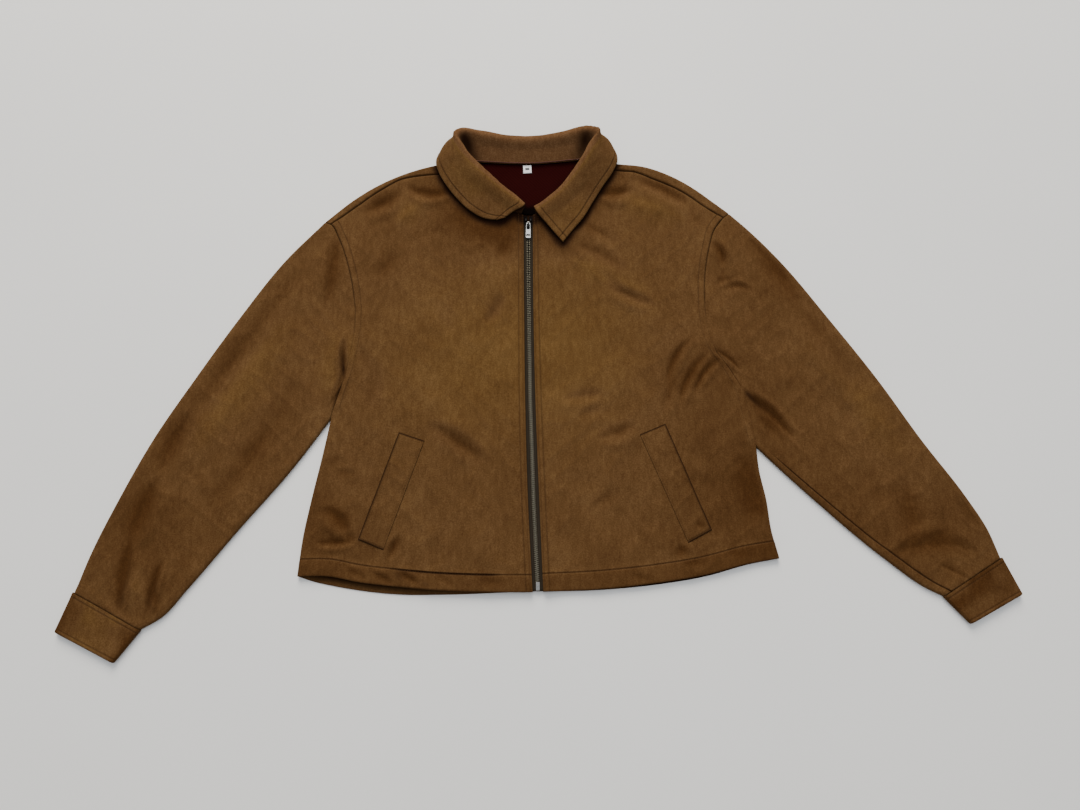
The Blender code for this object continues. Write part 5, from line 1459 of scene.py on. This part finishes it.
def tape(name, turn):
    across = np.concatenate([np.linspace(*columns) for columns in TAPE_COLUMNS])
    across, y = np.meshgrid(across, np.linspace(TAPE_BOTTOM_Y, TAPE_TOP_Y, TAPE_ROWS))
    cord = CORD_HEIGHT * bell(across - CORD_PLACE, CORD_REACH)
    rib = RIB_HEIGHT * np.cos(across * 2 * math.pi / RIB_PITCH)
    points = np.dstack((zip_x(y) + turn * across, y, CHAIN_MIDDLE_Z + TAPE_LIFT + (cord + rib)))
    lip = np.minimum(across - across[0, 0], TAPE_REACH - across)
    add_wall(name, points, grid_normals(points, 1), lip, 0.0, TAPE_WALL,
             uv=np.column_stack((across.ravel(), y.ravel())))


tape("zip_tape_right_cloth", -1)
tape("zip_tape_left_cloth", 1)


# %% [markdown]
# ## Repeats along a path
# One tree of nodes serves the stitches and the teeth. It turns a path to a curve, takes a point
# every pitch, and sets the item there, turned to the path and a little unevenly where that is
# asked for.

# %% Paths and items
def path_object(name, paths):
    """An object that holds paths as bare edges, for Geometry Nodes to follow."""
    points, edges = [], []
    for path in paths:
        start = len(points)
        points += to_frame(path).tolist()
        edges += [(i, i + 1) for i in range(start, len(points) - 1)]
    mesh = bpy.data.meshes.new(name)
    mesh.from_pydata(points, edges, [])
    return add_object(name, mesh)


def item_object(name, rings):
    """A small closed shape from rings of points, given from one end to the other."""
    count, points = len(rings[0]), np.concatenate(rings)
    first, last = tuple(range(count))[::-1], tuple(range(len(points) - count, len(points)))
    faces = [*grid_faces(len(rings), count, closed=True).tolist(), first, last]
    mesh = bpy.data.meshes.new(name)
    mesh.from_pydata((points * MM).tolist(), [], faces)
    mesh.update()
    return add_object(name, mesh)


# %% Repeat tree
def repeat_tree():
    """Geometry nodes: copies of an item along a path, every pitch, turned to the path."""
    tree = bpy.data.node_groups.new("repeat along path", "GeometryNodeTree")
    for name, kind in (("Path", "Geometry"), ("Item", "Object"), ("Pitch", "Float"),
                       ("Start", "Float"), ("Uneven Turn", "Float"), ("Seed", "Int"),
                       ("Material", "Material")):
        tree.interface.new_socket(name, in_out="INPUT", socket_type="NodeSocket" + kind)
    tree.interface.new_socket("Copies", in_out="OUTPUT", socket_type="NodeSocketGeometry")
    given = add_node(tree, "NodeGroupInput").outputs
    curve = add_node(tree, "GeometryNodeMeshToCurve", {"Mesh": given["Path"]})
    trimmed = add_node(tree, "GeometryNodeTrimCurve", {
        "Curve": curve, 4: given["Start"],                   # 4 and 5 are the ends as lengths
        5: add_node(tree, "GeometryNodeSplineLength").outputs["Length"]}, mode="LENGTH")
    places = add_node(tree, "GeometryNodeCurveToPoints", {
        "Curve": trimmed, "Length": given["Pitch"]}, mode="LENGTH")
    facing = add_node(tree, "FunctionNodeAlignRotationToVector",
                      {"Vector": places.outputs["Tangent"]}, axis="X")
    item = add_node(tree, "GeometryNodeObjectInfo", {"Object": given["Item"]})
    less = add_node(tree, "ShaderNodeMath", {0: given["Uneven Turn"], 1: -1.0},
                    operation="MULTIPLY")
    wobble = add_node(tree, "FunctionNodeRandomValue", {       # 2 and 3 are its range as floats
        2: less, 3: given["Uneven Turn"], "Seed": given["Seed"]}, data_type="FLOAT")
    turn = add_node(tree, "ShaderNodeCombineXYZ", {"Z": wobble.outputs[1]})
    both = add_node(tree, "FunctionNodeRotateRotation", {"Rotation": facing, "Rotate By": turn},
                    rotation_space="LOCAL")
    copies = add_node(tree, "GeometryNodeInstanceOnPoints", {
        "Points": places.outputs["Points"], "Instance": item.outputs["Geometry"], "Rotation": both})
    real = add_node(tree, "GeometryNodeRealizeInstances", {"Geometry": copies})
    painted = add_node(tree, "GeometryNodeSetMaterial", {
        "Geometry": real, "Material": given["Material"]})
    add_node(tree, "NodeGroupOutput", {"Copies": painted})
    return tree


REPEAT = repeat_tree()
print("repeat tree:", len(REPEAT.nodes), "nodes")


# %% Repeats
def repeat(name, paths, item, pitch, finish, start=0.0, uneven_turn=0.0, seed=1):
    """Runs the repeat tree on some paths and keeps its result as a plain mesh."""
    path = path_object(f"{name} path", paths)
    modifier = path.modifiers.new("repeat", "NODES")
    modifier.node_group = REPEAT
    values = {"Item": item, "Pitch": pitch * MM, "Start": start * MM, "Uneven Turn": uneven_turn,
              "Seed": seed, "Material": finish}
    for socket in REPEAT.interface.items_tree:
        if socket.in_out == "INPUT" and socket.name in values:
            modifier[socket.identifier] = values[socket.name]
    depsgraph = bpy.context.evaluated_depsgraph_get()
    mesh = bpy.data.meshes.new_from_object(path.evaluated_get(depsgraph))
    bpy.data.objects.remove(path)
    mesh.name = name
    keep(name, mesh)


# %% [markdown]
# ## Finishes
# Suede is leather whose flesh side was sanded to a short nap. It has no gloss. Where the nap
# lies one way it looks a little lighter than where it lies the other, so its colour is cloudy.
# Light and shade are painted into it too: hollows of the cloth are painted darker and redder. The
# thread is polyester in the same brown. The lining is a dark red twill, and the zip is antiqued
# brass with nickel fittings.

# %% Suede
CLOUD_SIZE, MOTTLE_SIZE, NAP_SIZE, GRAIN_SIZE = 60.0, 14.0, 4.5, 1.5    # across one patch
SUEDE_TONES = ((0.34, linear("#412a15")), (0.5, linear("#513920")), (0.66, linear("#62492d")))
# how the nap value tints the colour, for the nap and for painted light and shade
NAP_AND_LIGHT_TONES = ((0, (0.60, 0.49, 0.38, 1)),         # nap -1: stroked down, and painted shade
                 (1 / 3, (1, 1, 1, 1)),
                 (2 / 3, (1.20, 1.25, 1.04, 1)),     # nap 1: stroked up, and painted light
                 (1, (1.30, 1.27, 1.48, 1)))         # nap 2: painted light, on the collar's stand


def per_metre(size):
    """A noise scale whose patches are the given millimetres across."""
    return 1 / (size * MM)


def set_ramp(node, tones):
    """Gives a colour ramp its places and colours."""
    elements = node.color_ramp.elements
    for element, tone in ((elements[0], tones[0]), (elements[1], tones[-1])):
        element.position, element.color = tone
    for position, colour in tones[1:-1]:
        elements.new(position).color = colour
    return node


def suede():
    paint, tree, shader = new_material("napped suede", 0.95, Sheen_Weight=0.15, Sheen_Roughness=0.5,
                                       Specular_IOR_Level=0.05, Sheen_Tint=linear("#c99a63"))
    place = add_node(tree, "ShaderNodeTexCoord").outputs["Object"]
    brushed = add_node(tree, "ShaderNodeMapping", {"Vector": place, "Scale": (1.0, 0.35, 1.0)})
    clouds, mottle, nap, grain = (
        add_node(tree, "ShaderNodeTexNoise", {
            "Vector": where, "Scale": per_metre(size), "Detail": detail, "Roughness": rough,
            "Distortion": bend})
        for where, size, detail, rough, bend in (
            (place, CLOUD_SIZE, 3.0, 0.55, 0.0), (brushed, MOTTLE_SIZE, 4.0, 0.6, 0.6),
            (brushed, NAP_SIZE, 3.0, 0.6, 0.0), (place, GRAIN_SIZE, 2.0, 0.6, 0.0)))
    shade = clouds
    for share, finer in ((0.35, mottle), (0.45, nap), (0.45, grain)):
        shade = add_node(tree, "ShaderNodeMix", {"Factor": share, "A": shade, "B": finer},
                         data_type="FLOAT")
    tone = set_ramp(add_node(tree, "ShaderNodeValToRGB", {"Fac": shade}), SUEDE_TONES)
    # the nap value holds the nap together with painted light and shade, and picks a tint from the
    # tones above
    lie = add_node(tree, "ShaderNodeMapRange", {
        "Value": add_node(tree, "ShaderNodeAttribute", attribute_name="nap").outputs["Fac"],
        "From Min": -1.0, "From Max": 2.0})
    nap_and_light_tone = set_ramp(add_node(tree, "ShaderNodeValToRGB", {"Fac": lie}), NAP_AND_LIGHT_TONES)
    both = add_node(tree, "ShaderNodeMix", {"Factor": 1.0, "A": tone, "B": nap_and_light_tone},
                    data_type="RGBA", blend_type="MULTIPLY")
    # painted shade: where the painted shade value is high, the colour is mixed toward a dark
    # red-brown
    hollow = add_node(tree, "ShaderNodeAttribute", attribute_name="hollow").outputs["Fac"]
    deep = add_node(tree, "ShaderNodeMix", {"Factor": hollow, "A": both, "B": linear("#1c0d05")},
                    data_type="RGBA")
    fine = add_node(tree, "ShaderNodeMix", {"Factor": 0.5, "A": nap, "B": grain}, data_type="FLOAT")
    bump = add_node(tree, "ShaderNodeBump", {"Height": fine, "Strength": 0.5, "Distance": 0.5 * MM})
    fill(tree, shader, {"Base Color": deep, "Normal": bump})
    return paint


# %% Woven cloth
def woven(name, dark, light, thread, roughness, bands="X", **shader_values):
    """A woven cloth whose ribs follow its own map, one thread wide."""
    paint, tree, shader = new_material(name, roughness, **shader_values)
    place = add_node(tree, "ShaderNodeUVMap", uv_map="cloth").outputs["UV"]
    ribs = add_node(tree, "ShaderNodeTexWave", {
        "Vector": place, "Scale": per_metre(thread) / (2 * math.pi), "Distortion": 0.4,
        "Detail": 1.0}, bands_direction=bands).outputs["Fac"]
    cloud = add_node(tree, "ShaderNodeTexNoise", {
        "Vector": place, "Scale": per_metre(20), "Detail": 3.0})
    mixed = add_node(tree, "ShaderNodeMix", {"Factor": 0.4, "A": ribs, "B": cloud},
                     data_type="FLOAT")
    tone = add_node(tree, "ShaderNodeMix", {"Factor": mixed, "A": linear(dark), "B": linear(light)},
                    data_type="RGBA")
    # painted shade: where the painted shade value is high, the cloth's colour is mixed toward near
    # black
    hollow = add_node(tree, "ShaderNodeAttribute", attribute_name="hollow").outputs["Fac"]
    deep = add_node(tree, "ShaderNodeMix", {"Factor": hollow, "A": tone, "B": linear("#080302")},
                    data_type="RGBA")
    bump = add_node(tree, "ShaderNodeBump", {
        "Height": ribs, "Strength": 0.4, "Distance": 0.15 * MM})
    fill(tree, shader, {"Base Color": deep, "Normal": bump})
    return paint, tree, shader, tone


# %% Thread and metal
def uneven(name, dark, light, patch_size, roughness, detail, metallic=0.0, wear=(),
           **shader_values):
    """A finish that wavers between two tones and, where it wears, between two roughnesses."""
    paint, tree, shader = new_material(name, roughness, metallic, **shader_values)
    place = add_node(tree, "ShaderNodeTexCoord").outputs["Object"]
    cloud = add_node(tree, "ShaderNodeTexNoise", {
        "Vector": place, "Scale": per_metre(patch_size), "Detail": detail})
    fill(tree, shader, {"Base Color": add_node(tree, "ShaderNodeMix", {
        "Factor": cloud, "A": linear(dark), "B": linear(light)}, data_type="RGBA")})
    if wear:
        fill(tree, shader, {"Roughness": add_node(tree, "ShaderNodeMapRange", {
            "Value": cloud, "To Min": roughness - wear[0], "To Max": roughness + wear[1]})})
    return paint


def metal(name, dark, light, roughness, patch_size):
    """Plated metal with slightly uneven polish."""
    return uneven(name, dark, light, patch_size, roughness, 3.0, 1.0, (0.08, 0.1))


# %% Materials of the jacket
SUEDE = suede()
DULL = {"Specular_IOR_Level": 0.1}
# painted shade: the twill's dark red is set darker still, for the collar's shade over it
LINING_TWILL = woven("dark red twill", "#1f0504", "#280707", 1.2, 0.9, "DIAGONAL",
                     Specular_IOR_Level=0.02)[0]
TAPE_WEAVE = woven("woven polyester tape", "#211c15", "#302920", 0.9, 0.9, **DULL)[0]
CORD_SATIN = uneven("rayon cord", "#4a2c26", "#67463e", 1.5, 0.8, 1.0, **DULL)
THREAD = uneven("spun polyester thread", "#3a2713", "#553a1f", 0.8, 0.8, 1.0, **DULL)
OLD_BRASS = metal("antiqued brass", "#3f3d33", "#7a7361", 0.35, 3.0)
NICKEL = metal("polished nickel", "#8a8a87", "#aeaeaa", 0.25, 4.0)
# a darker nickel for the slider, its stops and most of the bail
DARK_NICKEL = metal("black nickel", "#171615", "#262523", 0.35, 4.0)
DULL_NICKEL = metal("worn nickel", "#4a4946", "#8d8c88", 0.4, 2.0)

# %% Label cloth
BAR_HALF = (("X", 2.9 * MM), ("Y", 1.7 * MM))        # half the sides of the label's woven bar


def label_satin():
    """White woven satin with one plain dark bar in its middle."""
    paint, tree, shader, tone = woven("white woven satin", "#d9d9d6", "#f4f4f1", 0.7, 0.5)
    place = add_node(tree, "ShaderNodeSeparateXYZ", {
        "Vector": add_node(tree, "ShaderNodeUVMap", uv_map="cloth")}).outputs
    near = [add_node(tree, "ShaderNodeMath", {
        0: add_node(tree, "ShaderNodeMath", {0: place[axis]}, operation="ABSOLUTE"), 1: half},
        operation="LESS_THAN") for axis, half in BAR_HALF]
    inside = add_node(tree, "ShaderNodeMath", dict(enumerate(near)), operation="MULTIPLY")
    fill(tree, shader, {"Base Color": add_node(tree, "ShaderNodeMix", {
        "Factor": inside, "A": tone, "B": linear("#2e2f33")}, data_type="RGBA")})
    return paint


LABEL_SATIN = label_satin()
print("finishes:", ", ".join(paint.name for paint in bpy.data.materials))

# %% [markdown]
# ## Sewing
# A topstitch is a short thread that sits in the groove that it has pulled. From above it looks
# like a small grain of rice, so each stitch is a flattened capsule with six sides.

# %% Stitches
STITCH_LENGTH, STITCH_PITCH, STITCH_WIDTH, STITCH_HEIGHT = 2.5, 3.3, 0.55, 0.45
STITCH_SIDES, STITCH_TURN = 6, math.radians(5)

turn = np.linspace(0, 2 * math.pi, STITCH_SIDES, endpoint=False)
section = np.column_stack((np.ones(STITCH_SIDES), np.cos(turn), np.sin(turn)))
stitch = item_object("stitch item", [
    section * (share * STITCH_LENGTH / 2, size * STITCH_WIDTH / 2, size * STITCH_HEIGHT / 2)
    for share, size in ((-1, 0.3), (-0.7, 0.85), (0, 1), (0.7, 0.85), (1, 0.3))])
for group, paths in STITCH_PATHS.items():
    repeat(f"topstitching_{group}", paths, stitch, STITCH_PITCH, THREAD, uneven_turn=STITCH_TURN,
           seed=len(group))
bpy.data.objects.remove(stitch)

# %% [markdown]
# ## Teeth
# Each tooth is clamped on the cord of its tape and reaches a little past the middle with a
# rounded head, so the two rows lock.

# %% Zip teeth
TOOTH_PITCH, TOOTH_HEIGHT, TOOTH_PATH_POINTS = 2.5, 2.2, 120
TEETH_INSET, TEETH_LIFT = 0.6, 0.15      # from the chain's ends and above its middle
TOOTH_HALF = ((-2.75, -0.5), (-1.2, -0.52), (-0.6, -0.36), (0.2, -0.36), (0.65, -0.5),
              (0.95, -0.25))
TOOTH_OUTLINE = (*TOOTH_HALF, *((x, -y) for x, y in TOOTH_HALF[::-1]))


def tooth_item(turn):
    """A tooth whose path runs along X and whose head points across the zip."""
    rings = [np.array([(y * size, -turn * x * size, level * TOOTH_HEIGHT / 2)
                       for x, y in TOOTH_OUTLINE])
             for level, size in ((-1, 0.8), (-0.75, 1), (0.75, 1), (1, 0.8))]
    return item_object("tooth item", [ring[::-turn] for ring in rings])


levels = np.linspace(CHAIN_BOTTOM_Y + TEETH_INSET, CHAIN_TOP_Y - TEETH_INSET, TOOTH_PATH_POINTS)
heights = np.full(len(levels), CHAIN_MIDDLE_Z + TEETH_LIFT)
zip_path = np.column_stack((zip_x(levels), levels, heights))
for name, turn, start in (("right", 1, 0.0), ("left", -1, TOOTH_PITCH / 2)):
    tooth = tooth_item(turn)
    repeat(f"zip_teeth_{name}", [zip_path], tooth, TOOTH_PITCH, OLD_BRASS, start=start)
    bpy.data.objects.remove(tooth)

# %% [markdown]
# ## Slider, bail, pull tab and stops
# These are die-cast and plated. Flat curves with holes, extruded and bevelled, give plates with
# soft edges, and the bail is a short bar bent over the slider.

# %% Plates
BEVEL_STEPS, SHARP_ANGLE = 2, math.radians(40)


def rounded(corners, radius, steps=5):
    """A closed outline with round corners of one radius, or of one radius each."""
    corners = np.asarray(corners, float)
    t = np.linspace(0, 1, steps)[:, None]
    outline = []
    for i, (corner, cut) in enumerate(zip(corners, np.broadcast_to(radius, len(corners)))):
        before, after = (unit(corners[at % len(corners)] - corner) for at in (i - 1, i + 1))
        outline.append(corner + before * cut * (1 - t) ** 2 + after * cut * t ** 2)
    return np.concatenate(outline)


def box(x, y, half_x, half_y):
    """The corners of a rectangle round a place."""
    return [(x - half_x, y - half_y), (x + half_x, y - half_y), (x + half_x, y + half_y),
            (x - half_x, y + half_y)]


def plate(name, outlines, low, high, bevel, finish):
    """A flat metal piece from closed outlines in the plan: its rim, then its holes."""
    curve = bpy.data.curves.new(name, "CURVE")
    curve.dimensions, curve.fill_mode = "2D", "BOTH"
    curve.extrude = ((high - low) / 2 - bevel) * MM
    curve.bevel_depth, curve.bevel_resolution, curve.offset = bevel * MM, BEVEL_STEPS, -bevel * MM
    for outline in outlines:
        spline = curve.splines.new("POLY")
        spline.points.add(len(outline) - 1)
        for point, (x, y) in zip(spline.points, outline):
            point.co = (*to_frame((x, y, 0))[:2], 0, 1)
        spline.use_cyclic_u = True
    flat = add_object(name, curve)
    depsgraph = bpy.context.evaluated_depsgraph_get()
    mesh = bpy.data.meshes.new_from_object(flat.evaluated_get(depsgraph))
    bpy.data.objects.remove(flat)
    places = np.zeros(len(mesh.vertices) * 3, np.float32)
    mesh.vertices.foreach_get("co", places)
    places[2::3] += (low + high) / 2 * MM
    mesh.vertices.foreach_set("co", places)
    mesh.shade_smooth()
    mesh.set_sharp_from_angle(angle=SHARP_ANGLE)
    mesh.materials.clear()
    keep(name, mesh, finish)


# %% Slider
SLIDER_LOW_Y, SLIDER_LOW_Z, SLIDER_HIGH_Z, SLIDER_PLATE = 207.0, 2.0, 6.4, 0.8
# half outlines, as steps out from the middle and up from the slider's foot
SHIELD = ((3.4, 0), (4.2, 5.5), (3.8, 9.4), (2.6, 11.4))
POST = ((1.6, 6.9), (2.5, 10.8))
LIP = ((2.75, 0.3), (3.5, 0.3), (4.1, 5.4), (3.5, 5.4))
SLIDER_X = float(zip_x(SLIDER_LOW_Y))


def mirrored(half):
    """A closed outline round the slider's middle, from its half."""
    right, left = ([(SLIDER_X + turn * x, SLIDER_LOW_Y + y) for x, y in half] for turn in (1, -1))
    return left[:1] + right + left[:0:-1]


def slider():
    shield, post = rounded(mirrored(SHIELD), 0.9), rounded(mirrored(POST), 0.7)
    parts = [("slider_top", shield, SLIDER_HIGH_Z - SLIDER_PLATE, SLIDER_HIGH_Z, 0.3),
             ("slider_bottom", shield, SLIDER_LOW_Z, SLIDER_LOW_Z + SLIDER_PLATE, 0.3),
             ("slider_post", post, SLIDER_LOW_Z + 0.3, SLIDER_HIGH_Z - 0.3, 0.1)]
    for name, turn in (("slider_lip_right", -1), ("slider_lip_left", 1)):
        lip = [(SLIDER_X + turn * x, SLIDER_LOW_Y + y) for x, y in LIP][::turn]
        parts.append((name, rounded(lip, 0.2), SLIDER_HIGH_Z - 1.7, SLIDER_HIGH_Z - 0.4, 0.15))
    for name, outline, low, high, bevel in parts:
        plate(name, [outline], low, high, bevel, DARK_NICKEL)
    joined = [PIECES.pop(part[0]) for part in parts]
    bpy.ops.object.select_all(action="DESELECT")
    for part in joined:
        part.select_set(True)
    bpy.context.view_layer.objects.active = joined[0]
    bpy.ops.object.join()
    joined[0].name = "zip_slider_metal"
    PIECES["zip_slider_metal"] = joined[0]


slider()

# %% Bail
BAIL_LOW_Y, BAIL_HIGH_Y, BAIL_FOOT_Z, BAIL_TOP_Z = 208.9, 217.1, 6.3, 9.65
BAIL_WIDTH, BAIL_HEIGHT = 1.6, 1.0


def bail():
    """The bar that holds the pull tab: up from the slider, along and down again."""
    path = rounded([(BAIL_LOW_Y, BAIL_FOOT_Z), (BAIL_LOW_Y, BAIL_TOP_Z), (BAIL_HIGH_Y, BAIL_TOP_Z),
                    (BAIL_HIGH_Y, BAIL_FOOT_Z)], (0.01, 1.6, 1.6, 0.01), 8)
    tangent = unit(np.gradient(path, axis=0))
    square = np.column_stack((-tangent[:, 1], tangent[:, 0]))
    section = rounded(box(0, 0, BAIL_WIDTH / 2, BAIL_HEIGHT / 2), 0.3, 4)
    grid = np.array([[(SLIDER_X + x, p[0] + n[0] * h, p[1] + n[1] * h) for x, h in section]
                     for p, n in zip(path, square)])
    count, last = len(section), len(path) * len(section) + 1
    points = np.concatenate((grid.reshape(-1, 3), grid[[0, -1]].mean(axis=1)))
    faces, end = grid_faces(len(path), count, closed=True).tolist(), last - 1 - count
    faces += [(last - 1, (i + 1) % count, i) for i in range(count)]
    faces += [(last, end + i, end + (i + 1) % count) for i in range(count)]
    mesh = bpy.data.meshes.new("zip_bail_metal")
    mesh.from_pydata(to_frame(points).tolist(), [], faces)
    mesh.shade_smooth()
    keep("zip_bail_metal", mesh, DARK_NICKEL, NICKEL)
    for face in mesh.polygons:       # painted highlight: bright nickel where the bar bends at its upper end
        face.material_index = int(face.center.y > to_frame((0, BAIL_HIGH_Y - 1.2, 0))[1])


bail()

# %% Pull tab, stops and box
PULL_AXIS_Y, PULL_AXIS_Z, PULL_LENGTH, PULL_THICKNESS = 214.6, 8.0, 21.0, 1.2
BOX_WIDTH, BOX_HIGH_Y, BOX_LOW_Y, BOX_THICKNESS = 5.0, -259.6, -270.2, 3.4
STOP_OFFSET_X, STOP_Y, STOP_SIZE = 3.2, 221.2, (2.0, 3.0, 1.2)


def pull_tab():
    """A stamped tab: narrow arms round a long slot, then a plate with a window near its end."""
    top, bottom, slot_low = PULL_AXIS_Y + 0.9, PULL_AXIS_Y - PULL_LENGTH, PULL_AXIS_Y - 8.6
    rim = [(-2.7, top), (-3.1, (top + slot_low) / 2), (-3.4, slot_low - 1.5), (-3.4, bottom),
           (3.4, bottom), (3.4, slot_low - 1.5), (3.1, (top + slot_low) / 2), (2.7, top)]
    slot = [(-1.7, PULL_AXIS_Y - 0.7), (-2.1, slot_low + 2), (-1.5, slot_low), (1.5, slot_low),
            (2.1, slot_low + 2), (1.7, PULL_AXIS_Y - 0.7)]
    window = [(-2.3, bottom + 5.2), (-2.3, bottom + 3.1), (2.3, bottom + 3.1), (2.3, bottom + 5.2)]
    middle = float(zip_x(PULL_AXIS_Y))
    outlines = [rounded([(middle + x, y) for x, y in line], radius) for line, radius in (
        (rim, (1.0, 0.6, 0.8, 1.4, 1.4, 0.8, 0.6, 1.0)), (slot, 0.5), (window, 0.4))]
    plate("zip_pull_metal", outlines, PULL_AXIS_Z - PULL_THICKNESS / 2,
          PULL_AXIS_Z + PULL_THICKNESS / 2, 0.3, NICKEL)


pull_tab()
tape_top = CHAIN_MIDDLE_Z + 0.5
for name, turn in (("right", -1), ("left", 1)):
    x = float(zip_x(STOP_Y)) + turn * STOP_OFFSET_X
    stop = box(x, STOP_Y, STOP_SIZE[0] / 2, STOP_SIZE[1] / 2)
    plate(f"zip_stop_{name}_metal", [rounded(stop, 0.5)], tape_top + 0.2,
          tape_top + 0.3 + STOP_SIZE[2], 0.25, DARK_NICKEL)
foot = box(float(zip_x(BOX_LOW_Y)), (BOX_LOW_Y + BOX_HIGH_Y) / 2, BOX_WIDTH / 2,
           (BOX_HIGH_Y - BOX_LOW_Y) / 2)
plate("zip_box_metal", [rounded(foot, 0.8)], CHAIN_MIDDLE_Z - BOX_THICKNESS / 2,
      CHAIN_MIDDLE_Z + BOX_THICKNESS / 2, 0.4, DULL_NICKEL)

# %% [markdown]
# ## Putting it together
# Every piece rides on a body of the frame, takes its finish where it has none yet, and hides the
# solid whose place it takes, where there is one.

# %% Finishes and bodies
SUEDE_NODES = ("front_right", "front_left", "back", "sleeve_right", "sleeve_left", "cuff_right",
               "cuff_left", "collar", "welt_right", "welt_left")
METAL_NODES = ("zip_slider", "zip_bail", "zip_stop_right", "zip_stop_left", "zip_box")
FITTINGS = (
    # piece, finish where it has none yet, slot, node that it stands for
    *((f"{node}_cloth", SUEDE, "suede", node) for node in SUEDE_NODES),
    ("lining_cloth", LINING_TWILL, "lining", "lining"),
    ("neck_cord_cloth", CORD_SATIN, "lining", None),
    ("label_cloth", LABEL_SATIN, "label", "label"),
    ("zip_tape_right_cloth", TAPE_WEAVE, "zip_tape", "zip_tape_right"),
    ("zip_tape_left_cloth", TAPE_WEAVE, "zip_tape", "zip_tape_left"),
    *((f"topstitching_{group}", None, "suede", None) for group in STITCH_PATHS),
    ("zip_teeth_right", None, "zip_teeth", "zip_chain"),
    ("zip_teeth_left", None, "zip_teeth", "zip_chain"),
    *((f"{node}_metal", None, "nickel", node) for node in METAL_NODES),
    ("zip_pull_metal", None, "nickel", "zip_pull"),
)
for name, finish, slot_name, node in FITTINGS:
    if finish is not None:
        PIECES[name].data.materials.append(finish)
    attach(PIECES[name], "pull_tab" if name == "zip_pull_metal" else "jacket")
    if node:
        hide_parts(node)
